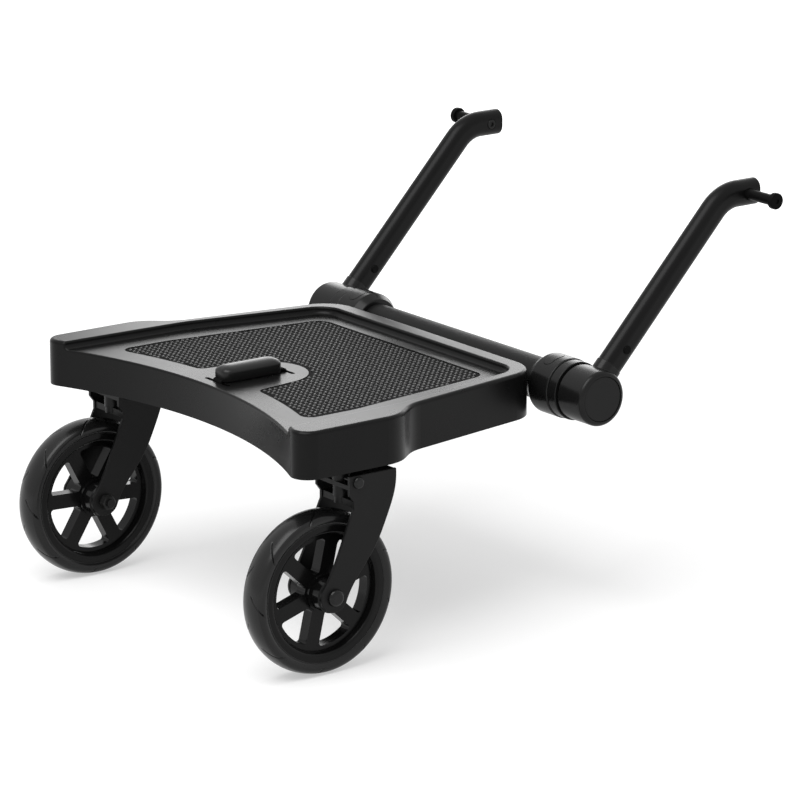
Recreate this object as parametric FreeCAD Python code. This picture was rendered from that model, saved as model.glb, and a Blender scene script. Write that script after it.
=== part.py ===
import FreeCAD, Part
import math
import os

os.makedirs("parts", exist_ok=True)
V = FreeCAD.Vector

# A ride-on board that hangs on the back of a pushchair. Millimetres, Z up, X across, Y to the pushchair.
# The sizes below are measured from the axis of the cross tube and from the floor.

# General fits and allowances
overrun = 2.0
running_clearance = 0.06
seat_clearance = 0.03
thrust_clearance = 0.3

# Wheels
wheel_radius = 75.0
wheel_half_track = 184.0
tyre_half_width = 14.2
tyre_shoulder_half_width = 11.6
tyre_shoulder_drop = 2.4
tyre_belly_drop = 7.5
tyre_foot_half_width = 12.2
tyre_foot_gap = 0.3
rim_bed_drop = 17.0
rim_flange_drop = 11.0
rim_flange_width = 2.0
rim_half_width = 12.4
rim_well_half_width = 7.0
rim_well_drop = 21.5
rim_mouth_drop = 19.0
rim_lip_round = 1.8
rim_mouth_round = 3.6
spoke_count = 6
spoke_width = 14.0
spoke_half_depth = 6.0
spoke_root_radius = 19.0
window_corner_radius = 3.0
window_land = 4.2
hub_radius = 15.4
hub_half_length = 22.0
hub_ring_radius = 17.6
hub_ring_half_length = 10.0
hub_chamfer = 1.2
left_spoke_turn = 2.5
right_spoke_turn = -17.0
bearing_radius = 9.0
bearing_length = 7.0
bearing_shield_depth = 0.8
bearing_inner_ring = 2.2
bearing_outer_ring = 1.6

# Axle bolt, nut and side washers
axle_radius = 4.0
axle_head_radius = 8.0
axle_head_height = 4.6
axle_head_round = 3.8
axle_nut_across_flats = 13.0
axle_nut_height = 6.5
axle_nut_bevel = 1.0
axle_tail = 2.5
washer_radius = 8.5
washer_thickness = 0.7

# Caster fork
fork_inner_half_width = 23.0
fork_plate = 3.0
fork_rise = 29.6
fork_end_radius = 14.0
fork_trail = 25.3
fork_back_upper = [(-9.3, -17.7), (-4.5, -23.9), (-4.5, -30.2), (-12.3, -47.6)]
fork_back_lower = [(5.5, 41.2), (-13.6, 6.4)]
fork_front_lower = [(12.4, -6.5), (27.2, 17.8), (40.3, 34.0), (48.0, 45.8)]
fork_front_upper = [(30.3, -45.6), (35.9, -32.6), (40.1, -20.0), (41.7, -10.2), (41.7, 0.0)]
fork_edge_round = 0.8
web_rise = 16.9
web_thickness = 4.0
web_front = 37.7
web_lip = 1.0
crown_gap = 2.6
crown_thickness = 6.0
crown_back = 3.5
crown_front = 30.7
brow_back = 16.5
brow_front = 40.7
brow_thickness = 2.5

# Kingpin, its bush in the board, its clip and the cross rivet
kingpin_y = -272.7
kingpin_radius = 6.5
kingpin_shoulder_radius = 8.2
kingpin_barrel_radius = 7.3
kingpin_rise = 29.5
kingpin_bevel = 0.8
bush_radius = 10.5
bush_flange_radius = 14.0
bush_flange = 2.0
bush_rise = 25.5
clip_radius = 9.0
clip_thickness = 1.5
clip_groove = 0.9
rivet_radius = 3.0
rivet_head_radius = 5.6
rivet_head_height = 3.2
rivet_round_share = 0.9
rivet_rise = 6.4

# Board
board_gap = 4.3
board_height = 43.5
tray_depth = 7.2
board_wall = 3.2
board_floor = 4.8
board_front_y = -30.0
board_front_half = 158.0
board_waist = (187.5, -197.0)
board_flare = (210.0, -226.0)
board_rear_mid_y = -291.0
board_rear_arc = 470.0
board_front_corner = 36.0
board_waist_round = 45.0
board_flare_round = 40.0
board_rear_corner = 16.0
rim_edge_round = 3.5
tray_front_y = -48.0
tray_front_rim = 11.0
tray_side = (176.0, -195.0)
tray_rear = (182.0, -360.0)
tray_front_corner = 24.0
tray_side_round = 150.0
tray_floor_round = 4.6
tray_lip_round = 2.0
rib_thickness = 2.4
rib_foot_gap = 2.0
rib_x = [25.0, 75.0, 125.0, 165.0]
rib_y = [-240.0, -182.0, -134.0, -86.0]
boss_radius = 15.5
boss_bore_top_gap = 0.5

# Grip mat
mat_thickness = 2.0
mat_sink = 0.5
mat_side_gap = 0.4
mat_front_y = -68.3
mat_front_margin = 20.5
mat_side = (149.8, -232.0)
mat_rear_mid_y = -262.7
mat_front_corner = 14.0
mat_side_round = 100.0
mat_rear_corner = 10.0
tongue_mouth_half = 46.5
tongue_mouth_y = -264.0
tongue_end_radius = 41.0
tongue_end_y = -184.5
tongue_mouth_round = 8.0

# Lifting handle
handle_y_back = -269.5
handle_y_front = -211.0
handle_half_width = 11.5
handle_height = 14.0
handle_gap = 0.3
handle_top_round = 6.5
handle_corner_round = 9.0
strap_half_width = 6.5
strap_thickness = 2.2
strap_back_y = -277.5
strap_front_y = -205.7
strap_run_lift = 0.4
strap_round_share = 0.9
slot_half_length = 19.0
slot_half_width = 2.2
slot_round_share = 0.95
strap_foot_rise = 5.7
stop_half_width = 14.0
stop_half_depth = 4.5
stop_height = 4.0
stop_round = 1.0

# Cross tube and the way it is bolted to the board
cross_rise = 21.1
cross_radius = 19.5
cross_wall = 1.5
cross_half_length = 171.0
saddle_x = 50.0
saddle_half_length = 26.0
saddle_half_height = 13.0
saddle_corner = 3.0
bolt_spacing_half = 13.0
bolt_radius = 3.0
bolt_head_radius = 6.0
bolt_head_height = 3.6
bolt_washer_radius = 8.0
bolt_washer = 1.2
bolt_socket_radius = 2.2
bolt_socket_depth = 2.0
tube_nut_radius = 6.5
tube_nut_height = 5.0
bolt_tail = 1.5

# Width sleeve, guide tube and lock ring at each end of the cross tube
sleeve_inner_x = 131.5
sleeve_mouth_radius = 23.6
sleeve_shoulder_x = 140.0
sleeve_radius = 28.3
sleeve_outer_x = 166.6
sleeve_edge_round = 1.6
seam_gap = 0.5
lock_ring_outer_x = 178.0
lock_ring_radius = 27.4
lock_ring_round = 0.8
lock_ring_wall = 3.6
ring_boss_radius = 22.0
guide_inner_x = 92.0
guide_wall = 1.6

# Sleeve button
button_x = 151.0
button_lean = 15.0
button_half_length = 10.6
button_half_width = 5.6
button_stand = 0.3
button_depth = 5.7
button_side_gap = 0.35
button_round = 0.4
button_flange = 0.9
button_flange_thickness = 0.8
pocket_floor_radius = 20.6

# Arm hinge
drum_inner_x = 180.2
drum_outer_x = 213.6
drum_radius = 25.9
drum_edge_round = 4.4
drum_inner_round = 0.8
hinge_pin_radius = 6.0
hinge_head_radius = 10.0
hinge_head_height = 4.0
hinge_pocket_radius = 13.0
cap_radius = 21.0
cap_thickness = 3.0
cap_inset = 0.4
cap_round = 0.8
cap_side_gap = 0.3

# Arms
arm_x = 194.0
arm_rise = 46.7
arm_half_width = 9.4
arm_half_depth = 12.6
arm_wall = 2.8
arm_root_drop = 1.4
arm_root = 12.0
arm_height = 164.9
arm_bend_radius = 38.0
neck_margin = 0.7
neck_reach = 33.0
neck_round = 0.5
neck_foot_round = 1.6
tip_straight = 0.6
tip_length = 22.1
tip_round = 1.4
stud_setback = 14.5
arm_rivet_reach = 53.0
arm_rivet_radius = 2.6
arm_rivet_head_radius = 4.2
arm_rivet_head_height = 1.3
arm_rivet_round_share = 0.7

# Studs that plug into the pushchair frame
stud_radius = 5.1
stud_root_radius = 3.4
stud_foot_radius = 5.7
stud_foot = 2.0
stud_head_radius = 7.75
stud_head_x = 236.8
stud_head = 5.6
stud_head_round = 1.2
stud_dimple_radius = 2.2
stud_dimple = 1.0
tip_screw_head_radius = 4.7
tip_screw_gap = 0.5
tip_screw_stand = 0.6
tip_screw_round = 0.7
tip_screw_head = 2.6
tip_screw_socket_radius = 2.6
tip_screw_socket = 1.6
stud_root_share = 0.5

# Radii that follow from the wheel's size
tyre_shoulder_radius = wheel_radius - tyre_shoulder_drop
tyre_belly_radius = wheel_radius - tyre_belly_drop
rim_flange_radius = wheel_radius - rim_flange_drop
rim_mouth_radius = wheel_radius - rim_mouth_drop
rim_bed_radius = wheel_radius - rim_bed_drop
rim_well_radius = wheel_radius - rim_well_drop

# Heights that stack up from the floor, wheel first
crown_z = 2 * wheel_radius + crown_gap
web_z = crown_z + web_rise
fork_top_z = crown_z + fork_rise
rivet_z = web_z + rivet_rise
board_bottom_z = fork_top_z + board_gap
board_top_z = board_bottom_z + board_height
tray_floor_z = board_top_z - tray_depth
tray_front_half = board_front_half - tray_front_rim
mat_front_half = tray_front_half - mat_front_margin
kingpin_top_z = board_bottom_z + kingpin_rise
bush_top_z = board_bottom_z + bush_rise
strap_foot_z = board_bottom_z + strap_foot_rise
cross_z = board_bottom_z + cross_rise
arm_tip_z = cross_z + arm_height

# Positions that follow from the kingpin and from the arm's bend
axle_y = kingpin_y - fork_trail
rise_angle = math.radians(arm_rise)
bend_end_y = arm_height / math.tan(rise_angle) + arm_bend_radius * math.tan(rise_angle / 2)
plug_y = bend_end_y + tip_straight
arm_tip_y = plug_y + tip_length
stud_y = arm_tip_y - stud_setback

# The object is centred on its own footprint
rear_y = axle_y - wheel_radius
front_y = arm_tip_y
centre_y = (rear_y + front_y) / 2
X_AXIS = V(1, 0, 0)
Y_AXIS = V(0, 1, 0)
Z_AXIS = V(0, 0, 1)


def save(name, shape):
    """Moves a finished piece onto the footprint centre and writes it out."""
    piece = shape.copy()
    piece.translate(V(0, -centre_y, 0))
    piece.exportStep("parts/%s.step" % name)


def mirrored(shape):
    """The same piece on the other side of the board."""
    return shape.mirror(V(0, 0, 0), X_AXIS)


def save_pair(name, right_shape):
    """Writes a right-hand piece and its mirror image."""
    save("right_" + name, right_shape)
    save("left_" + name, mirrored(right_shape))


def tube_x(radius, x0, x1, y, z):
    """A plain round bar along X."""
    return Part.makeCylinder(radius, x1 - x0, V(x0, y, z), X_AXIS)


def tube_z(radius, z0, z1, x, y):
    """A plain round bar along Z."""
    return Part.makeCylinder(radius, z1 - z0, V(x, y, z0), Z_AXIS)


def box(x0, x1, y0, y1, z0, z1):
    """A block between two corners."""
    return Part.makeBox(x1 - x0, y1 - y0, z1 - z0, V(x0, y0, z0))


def turned_x(profile, y, z):
    """A solid turned about an X axis from points of (x, radius)."""
    points = [V(x, y, z + r) for x, r in profile]
    face = Part.Face(Part.makePolygon(points + [points[0]]))
    return face.revolve(V(0, y, z), X_AXIS, 360)


def edges_where(shape, test):
    """The edges whose centre of mass passes a test."""
    return [e for e in shape.Edges if test(e)]


def vertical_edges_at(shape, x, y, slack):
    """The upright edges that stand over a plan position."""
    found = []
    for e in shape.Edges:
        a = e.Vertexes[0].Point
        b = e.Vertexes[-1].Point
        upright = abs(a.x - b.x) < slack and abs(a.y - b.y) < slack and abs(a.z - b.z) > slack
        if upright and abs(a.x - x) < slack and abs(a.y - y) < slack:
            found.append(e)
    return found


def prism(points, z0, z1):
    """A straight-sided block over a closed plan of points."""
    corners = [V(x, y, z0) for x, y in points]
    face = Part.Face(Part.makePolygon(corners + [corners[0]]))
    return face.extrude(V(0, 0, z1 - z0))


def rounded(shape, corners):
    """Rounds upright edges named by plan position and radius."""
    for x, y, radius in corners:
        edges = vertical_edges_at(shape, x, y, overrun / 10)
        shape = shape.makeFillet(radius, edges)
    return shape


def bend(before, corner, after, radius, z):
    """The arc that carries a wall round a shallow plan corner, tangent to both of its lines."""
    at = V(corner[0], corner[1], z)
    back = (V(before[0], before[1], z) - at).normalize()
    onward = (V(after[0], after[1], z) - at).normalize()
    half_turn = (math.pi - back.getAngle(onward)) / 2
    reach = radius * math.tan(half_turn)
    sink = radius * math.tan(half_turn / 2) / (2 * math.cos(half_turn))
    return Part.Arc(at + back * reach, at + (back + onward) * sink, at + onward * reach).toShape()


def side_edges(points, bends, z):
    """The lines along one side of a plan, with an arc at each corner that has its radius in bends."""
    edges = []
    last = V(points[0][0], points[0][1], z)
    for before, corner, after in zip(points[:-2], points[1:-1], points[2:]):
        end = V(corner[0], corner[1], z)
        if corner in bends:
            arc = bend(before, corner, after, bends[corner], z)
            edges.append(Part.LineSegment(last, arc.Vertexes[0].Point).toShape())
            edges.append(arc)
            last = arc.Vertexes[-1].Point
        else:
            edges.append(Part.LineSegment(last, end).toShape())
            last = end
    edges.append(Part.LineSegment(last, V(points[-1][0], points[-1][1], z)).toShape())
    return edges


def other_side(edges):
    """The same edges on the other side of the middle, in turned order."""
    return [e.mirror(V(0, 0, 0), V(1, 0, 0)) for e in reversed(edges)]


def dome(radius, height, round_over, base, direction):
    """A round head with a rolled-over edge."""
    head = Part.makeCylinder(radius, height, base, direction)
    far = base + direction * height
    rim = edges_where(head, lambda e: (e.CenterOfMass - far).Length < round_over / 10)
    return head.makeFillet(round_over, rim)


# Tyre
def tyre():
    """The tyre, turned about the axle, at the right wheel."""
    w = tyre_half_width
    s = tyre_shoulder_half_width
    f = tyre_foot_half_width
    bed = rim_half_width - rim_flange_width
    foot_r = rim_flange_radius + tyre_foot_gap

    def at(x, r):
        return V(wheel_half_track + x, axle_y, wheel_radius + r)

    shoulder_r = tyre_shoulder_radius
    crown = Part.Arc(at(-s, shoulder_r), at(0, wheel_radius), at(s, shoulder_r)).toShape()
    right = Part.Arc(at(s, shoulder_r), at(w, tyre_belly_radius), at(f, foot_r)).toShape()
    left = Part.Arc(at(-f, foot_r), at(-w, tyre_belly_radius), at(-s, shoulder_r)).toShape()
    foot = Part.makePolygon([at(f, foot_r), at(bed, foot_r), at(bed, rim_bed_radius),
                             at(-bed, rim_bed_radius), at(-bed, foot_r), at(-f, foot_r)])
    wire = Part.Wire([crown, right] + foot.Edges + [left])
    return Part.Face(wire).revolve(V(0, axle_y, wheel_radius), X_AXIS, 360)


# Rim with six spokes
def spoke_window():
    """One opening between two spokes, straight through the wheel."""
    half_pitch = math.pi / spoke_count
    half_spoke = spoke_width / 2

    def on_spoke_side(radius, side):
        a = math.asin(half_spoke / radius)
        turn = half_pitch - a
        return (radius * math.cos(turn), side * radius * math.sin(turn))

    outer_r = rim_well_radius - window_land
    p0 = on_spoke_side(spoke_root_radius, -1)
    p1 = on_spoke_side(outer_r, -1)
    p2 = on_spoke_side(outer_r, 1)
    p3 = on_spoke_side(spoke_root_radius, 1)
    reach = spoke_half_depth + overrun

    def at(p):
        return V(-reach, -p[0], p[1])

    root = Part.Arc(at(p3), V(-reach, -spoke_root_radius, 0), at(p0)).toShape()
    outer = Part.Arc(at(p1), V(-reach, -outer_r, 0), at(p2)).toShape()
    sides = [Part.LineSegment(at(p0), at(p1)).toShape(), Part.LineSegment(at(p2), at(p3)).toShape()]
    wire = Part.Wire([sides[0], outer, sides[1], root])
    block = Part.Face(wire).extrude(V(2 * reach, 0, 0))
    long_edges = edges_where(block, lambda e: abs(e.Length - 2 * reach) < overrun / 100)
    return block.makeFillet(window_corner_radius, long_edges)


def rim(turn):
    """The moulded wheel: bed, flanges, dished well, spokes and hub, at the right wheel."""
    h = rim_half_width
    bed = h - rim_flange_width
    well = rim_well_half_width
    ring = turned_x([(-h, rim_mouth_radius), (-h, rim_flange_radius), (-bed, rim_flange_radius),
                     (-bed, rim_bed_radius), (bed, rim_bed_radius), (bed, rim_flange_radius),
                     (h, rim_flange_radius), (h, rim_mouth_radius), (well, rim_well_radius),
                     (-well, rim_well_radius)], 0, 0)
    lips = edges_where(ring, lambda e: abs(abs(e.CenterOfMass.x) - h) < seat_clearance)
    mouth_length = 2 * math.pi * rim_mouth_radius + overrun
    ring = ring.makeFillet(rim_mouth_round, [e for e in lips if e.Length < mouth_length])
    lips = edges_where(ring, lambda e: abs(abs(e.CenterOfMass.x) - h) < seat_clearance)
    flange_length = 2 * math.pi * rim_flange_radius - overrun
    ring = ring.makeFillet(rim_lip_round, [e for e in lips if e.Length > flange_length])
    web = tube_x(rim_well_radius + overrun, -spoke_half_depth, spoke_half_depth, 0, 0)
    window = spoke_window()
    for i in range(spoke_count):
        opening = window.copy()
        opening.rotate(V(0, 0, 0), X_AXIS, (i + 0.5) * 360 / spoke_count)
        web = web.cut(opening)
    hub = tube_x(hub_radius, -hub_half_length, hub_half_length, 0, 0)
    hub_ends = edges_where(hub, lambda e: abs(abs(e.CenterOfMass.x) - hub_half_length) < hub_chamfer)
    hub = hub.makeChamfer(hub_chamfer, hub_ends)
    collar = tube_x(hub_ring_radius, -hub_ring_half_length, hub_ring_half_length, 0, 0)
    wheel = ring.fuse([web, hub, collar]).removeSplitter()
    wheel = wheel.cut(tube_x(axle_radius + thrust_clearance * 2, -hub_half_length - overrun,
                             hub_half_length + overrun, 0, 0))
    for side in (-1, 1):
        seat = tube_x(bearing_radius, 0, bearing_length + overrun, 0, 0)
        start = hub_half_length - bearing_length
        seat.translate(V(start, 0, 0))
        if side < 0:
            seat = mirrored(seat)
        wheel = wheel.cut(seat)
    wheel.rotate(V(0, 0, 0), X_AXIS, -turn)
    wheel.translate(V(wheel_half_track, axle_y, wheel_radius))
    return wheel


def bearings():
    """The two ball races pressed into the ends of the hub, at the right wheel."""
    start = hub_half_length - bearing_length
    end = hub_half_length
    bore = axle_radius + running_clearance
    shield = end - bearing_shield_depth
    race = turned_x([(start, bore), (end, bore), (end, bore + bearing_inner_ring),
                     (shield, bore + bearing_inner_ring), (shield, bearing_radius - bearing_outer_ring),
                     (end, bearing_radius - bearing_outer_ring), (end, bearing_radius),
                     (start, bearing_radius)], axle_y, wheel_radius)
    other = mirrored(race)
    pair = Part.makeCompound([race, other])
    pair.translate(V(wheel_half_track, 0, 0))
    return pair


# Axle bolt, nut and washers
def axle_bolt():
    """The bolt through fork and hub, head outboard, at the right wheel."""
    face_x = fork_inner_half_width + fork_plate
    tail_x = -face_x - axle_nut_height - axle_tail
    shank = tube_x(axle_radius, tail_x, face_x, 0, 0)
    head = dome(axle_head_radius, axle_head_height, axle_head_round, V(face_x, 0, 0), X_AXIS)
    bolt = shank.fuse(head)
    bolt.translate(V(wheel_half_track, axle_y, wheel_radius))
    return bolt


def axle_nut():
    """The hexagon nut on the inboard end of the axle bolt, at the right wheel."""
    corner = axle_nut_across_flats / math.sqrt(3)
    points = []
    for i in range(6):
        a = i * math.pi / 3
        points.append(V(0, corner * math.cos(a), corner * math.sin(a)))
    face = Part.Face(Part.makePolygon(points + [points[0]]))
    nut = face.extrude(V(-axle_nut_height, 0, 0))
    far_x = -axle_nut_height
    bevel = turned_x([(overrun, 0), (overrun, corner + overrun), (far_x + axle_nut_bevel, corner),
                      (far_x, corner - axle_nut_bevel * 2), (far_x, 0)], 0, 0)
    nut = nut.common(bevel)
    nut = nut.cut(tube_x(axle_radius, -axle_nut_height - overrun, overrun, 0, 0))
    nut.translate(V(wheel_half_track - fork_inner_half_width - fork_plate, axle_y, wheel_radius))
    return nut


def axle_washers():
    """Thin washers that keep the hub off the fork plates, at the right wheel."""
    inner = fork_inner_half_width - washer_thickness
    ring = tube_x(washer_radius, inner, fork_inner_half_width, axle_y, wheel_radius)
    hole = tube_x(axle_radius, inner - overrun, fork_inner_half_width + overrun, axle_y, wheel_radius)
    ring = ring.cut(hole)
    pair = Part.makeCompound([ring, mirrored(ring)])
    pair.translate(V(wheel_half_track, 0, 0))
    return pair


# Caster fork
def fork_plate_face(x):
    """The swept outline of one side plate in a plane across X."""
    def at(p):
        return V(x, p[0], p[1])

    def curve(points):
        spline = Part.BSplineCurve()
        spline.interpolate([at(p) for p in points])
        return spline.toShape()

    def from_top(p):
        return (kingpin_y + p[0], fork_top_z + p[1])

    def from_axle(p):
        return (axle_y + p[0], wheel_radius + p[1])

    ear, notch, step, waist = [from_top(p) for p in fork_back_upper]
    heel, back_tangent = [from_axle(p) for p in fork_back_lower]
    front = [from_axle(p) for p in fork_front_lower] + [from_top(p) for p in fork_front_upper]
    low = (axle_y, wheel_radius - fork_end_radius)
    lines = [(ear[0], fork_top_z), ear, notch, step]
    edges = []
    for a, b in zip(lines[:-1], lines[1:]):
        edges.append(Part.LineSegment(at(a), at(b)).toShape())
    edges.append(curve([step, waist, heel, back_tangent]))
    edges.append(Part.Arc(at(back_tangent), at(low), at(front[0])).toShape())
    edges.append(curve(front))
    edges.append(Part.LineSegment(at(front[-1]), at(lines[0])).toShape())
    return Part.Face(Part.Wire(edges))


def fork():
    """Two swept side plates joined by the brow, the web and the crown, at the right wheel."""
    inner = fork_inner_half_width
    plate = fork_plate_face(inner).extrude(V(fork_plate, 0, 0))
    web_back = fork_back_upper[0][0] + web_lip
    web = box(-inner, inner, kingpin_y + web_back, kingpin_y + web_front, web_z, web_z + web_thickness)
    crown = box(-inner, inner, kingpin_y - crown_back, kingpin_y + crown_front,
                crown_z, crown_z + crown_thickness)
    brow = box(-inner, inner, kingpin_y + brow_back, kingpin_y + brow_front,
               fork_top_z - brow_thickness, fork_top_z)
    body = plate.fuse([mirrored(plate), web, crown, brow]).removeSplitter()
    web_top = web_z + web_thickness
    body = body.cut(tube_z(kingpin_radius, crown_z - overrun, web_top + overrun, 0, kingpin_y))
    reach = inner + fork_plate + overrun
    body = body.cut(tube_x(axle_radius, -reach, reach, axle_y, wheel_radius))
    body = body.cut(tube_x(rivet_radius, -reach, reach, kingpin_y, rivet_z))
    outer = inner + fork_plate
    rims = edges_where(body, lambda e: abs(abs(e.CenterOfMass.x) - outer) < seat_clearance
                       and e.BoundBox.XLength < seat_clearance
                       and e.Length > 4 * rivet_head_radius + overrun)
    body = body.makeFillet(fork_edge_round, rims)
    body.translate(V(wheel_half_track, 0, 0))
    return body


# Kingpin, clip, bush and cross rivet
def kingpin():
    """The upright pin the fork swivels on, with its thrust shoulder, at the right wheel."""
    shoulder_top = board_bottom_z - bush_flange - thrust_clearance
    pin = tube_z(kingpin_radius, crown_z, kingpin_top_z, 0, 0)
    top = edges_where(pin, lambda e: e.CenterOfMass.z > kingpin_top_z - kingpin_bevel)
    top = [e for e in top if len(e.Vertexes) == 1]
    pin = pin.makeChamfer(kingpin_bevel, top)
    shoulder = tube_z(kingpin_shoulder_radius, web_z + web_thickness, shoulder_top, 0, 0)
    barrel = tube_z(kingpin_barrel_radius, crown_z + crown_thickness, web_z, 0, 0)
    pin = pin.fuse([shoulder, barrel]).removeSplitter()
    groove_z = bush_top_z + thrust_clearance
    groove = tube_z(kingpin_radius + overrun, groove_z, groove_z + clip_thickness, 0, 0)
    groove = groove.cut(tube_z(kingpin_radius - clip_groove, groove_z - overrun,
                               groove_z + clip_thickness + overrun, 0, 0))
    pin = pin.cut(groove)
    reach = kingpin_shoulder_radius + overrun
    pin = pin.cut(tube_x(rivet_radius, -reach, reach, 0, rivet_z))
    pin.translate(V(wheel_half_track, kingpin_y, 0))
    return pin


def kingpin_clip():
    """The snap ring above the bush, at the right wheel."""
    z0 = bush_top_z + thrust_clearance
    ring = tube_z(clip_radius, z0, z0 + clip_thickness, 0, 0)
    ring = ring.cut(tube_z(kingpin_radius - clip_groove, z0 - overrun, z0 + clip_thickness + overrun, 0, 0))
    mouth = box(0, clip_radius + overrun, -clip_groove, clip_groove,
                z0 - overrun, z0 + clip_thickness + overrun)
    ring = ring.cut(mouth)
    ring.translate(V(wheel_half_track, kingpin_y, 0))
    return ring


def bush():
    """The flanged bearing bush pressed into the board above the fork, at the right wheel."""
    body = tube_z(bush_radius, board_bottom_z, bush_top_z, 0, 0)
    flange = tube_z(bush_flange_radius, board_bottom_z - bush_flange, board_bottom_z, 0, 0)
    body = body.fuse(flange).removeSplitter()
    bore = kingpin_radius + running_clearance
    body = body.cut(tube_z(bore, board_bottom_z - bush_flange - overrun, bush_top_z + overrun, 0, 0))
    body.translate(V(wheel_half_track, kingpin_y, 0))
    return body


def cross_rivet():
    """The domed rivet through the fork ears and the kingpin, at the right wheel."""
    outer = fork_inner_half_width + fork_plate
    rivet = tube_x(rivet_radius, -outer, outer, 0, 0)
    round_over = rivet_head_height * rivet_round_share
    head = dome(rivet_head_radius, rivet_head_height, round_over, V(outer, 0, 0), X_AXIS)
    rivet = rivet.fuse([head, mirrored(head)])
    rivet.translate(V(wheel_half_track, kingpin_y, rivet_z))
    return rivet


# Board
def rear_arc_y(x, mid_y):
    """Where the hollow rear edge runs at a distance from the middle."""
    return mid_y - (board_rear_arc - math.sqrt(board_rear_arc ** 2 - x ** 2))


def plan_solid(front_y_, corners, bends, rear_mid_y, rear_half, z0, z1):
    """A block over a symmetric plan with a straight front and a hollow rear edge."""
    right = [(0, front_y_)] + corners
    rear_y_ = rear_arc_y(rear_half, rear_mid_y)
    right.append((rear_half, rear_y_))
    edges = side_edges(right, bends, z0)
    arc = Part.Arc(V(rear_half, rear_y_, z0), V(0, rear_mid_y, z0), V(-rear_half, rear_y_, z0)).toShape()
    edges = edges + [arc] + other_side(edges)
    face = Part.Face(Part.Wire(edges))
    return face.extrude(V(0, 0, z1 - z0)).removeSplitter()


def both_sides(corners):
    """The same plan corners on both sides of the middle."""
    return corners + [(-x, y, r) for x, y, r in corners]


def board_block():
    """The outer form of the board with all its plan corners rounded."""
    corners = [(board_front_half, board_front_y), board_waist, board_flare]
    block = plan_solid(board_front_y, corners, {}, board_rear_mid_y, board_flare[0],
                       board_bottom_z, board_top_z)
    rear_y_ = rear_arc_y(board_flare[0], board_rear_mid_y)
    rounds = [(board_front_half, board_front_y, board_front_corner),
              (board_waist[0], board_waist[1], board_waist_round),
              (board_flare[0], board_flare[1], board_flare_round),
              (board_flare[0], rear_y_, board_rear_corner)]
    return rounded(block, both_sides(rounds))


def tray_space():
    """The shallow tray in the top of the board, open to the rear."""
    points = [(tray_front_half, tray_front_y), tray_side, tray_rear]
    side = side_edges(points, {tray_side: tray_side_round}, tray_floor_z)
    front = [V(way * tray_front_half, tray_front_y, tray_floor_z) for way in (-1, 1)]
    rear = [V(way * tray_rear[0], tray_rear[1], tray_floor_z) for way in (1, -1)]
    plan = side + [Part.LineSegment(*rear).toShape()]
    plan = plan + other_side(side) + [Part.LineSegment(*front).toShape()]
    block = Part.Face(Part.Wire(plan)).extrude(V(0, 0, tray_depth + overrun))
    rounds = [(tray_front_half, tray_front_y, tray_front_corner)]
    block = rounded(block, both_sides(rounds))
    foot = edges_where(block, lambda e: abs(e.BoundBox.ZMax - tray_floor_z) < seat_clearance
                       and e.CenterOfMass.y > tray_rear[1] + overrun)
    return block.makeFillet(tray_floor_round, foot)


def rib_space(block):
    """The open cells under the board, between its walls, ribs and bosses."""
    bottom = [f for f in block.Faces if abs(f.CenterOfMass.z - board_bottom_z) < seat_clearance
              and f.BoundBox.ZLength < seat_clearance][0]
    inset = bottom.OuterWire.makeOffset2D(-board_wall)
    ceiling = tray_floor_z - board_floor
    space = Part.Face(inset).extrude(V(0, 0, ceiling - board_bottom_z))
    reach = board_flare[0] + overrun
    back = rear_arc_y(board_flare[0], board_rear_mid_y) - overrun
    half = rib_thickness / 2
    solids = []
    for x in rib_x:
        for side in (-1, 1):
            solids.append(box(side * x - half, side * x + half, back, board_front_y,
                              board_bottom_z + rib_foot_gap, ceiling + overrun))
    for y in rib_y:
        solids.append(box(-reach, reach, y - half, y + half,
                          board_bottom_z + rib_foot_gap, ceiling + overrun))
    for side in (-1, 1):
        solids.append(tube_z(boss_radius, board_bottom_z - overrun, ceiling + overrun,
                             side * wheel_half_track, kingpin_y))
    for solid in solids:
        space = space.cut(solid)
    return space


def board():
    """The moulded board: rimmed tray, skirt, ribs, kingpin bosses, strap slots and bolt holes."""
    block = board_block()
    cells = rib_space(block)
    top = edges_where(block, lambda e: e.BoundBox.ZLength < seat_clearance
                      and abs(e.CenterOfMass.z - board_top_z) < seat_clearance)
    block = block.makeFillet(rim_edge_round, top)
    tray = tray_space()
    body = block.cut(tray)
    lip = edges_where(body, lambda e: abs(e.BoundBox.ZMin - board_top_z) < seat_clearance
                      and Part.Vertex(e.CenterOfMass).distToShape(tray)[0] < board_wall
                      and e.CenterOfMass.y > board_rear_mid_y)
    body = body.makeFillet(tray_lip_round, lip)
    body = body.cut(mat_pocket())
    body = body.cut(cells)
    ceiling = tray_floor_z - board_floor
    for side in (-1, 1):
        bore = tube_z(bush_radius, board_bottom_z - overrun, ceiling - boss_bore_top_gap,
                      side * wheel_half_track, kingpin_y)
        body = body.cut(bore)
    for y in (strap_back_y, strap_front_y):
        slot = box(-slot_half_length, slot_half_length, y - slot_half_width, y + slot_half_width,
                   ceiling - overrun, board_top_z)
        uprights = edges_where(slot, lambda e: e.BoundBox.ZLength > board_floor)
        slot = slot.makeFillet(slot_half_width * slot_round_share, uprights)
        body = body.cut(slot)
    for x in bolt_positions():
        start = V(x, board_front_y + board_wall, cross_z)
        body = body.cut(Part.makeCylinder(bolt_radius, board_wall * 3, start, V(0, -1, 0)))
    return body


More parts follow.
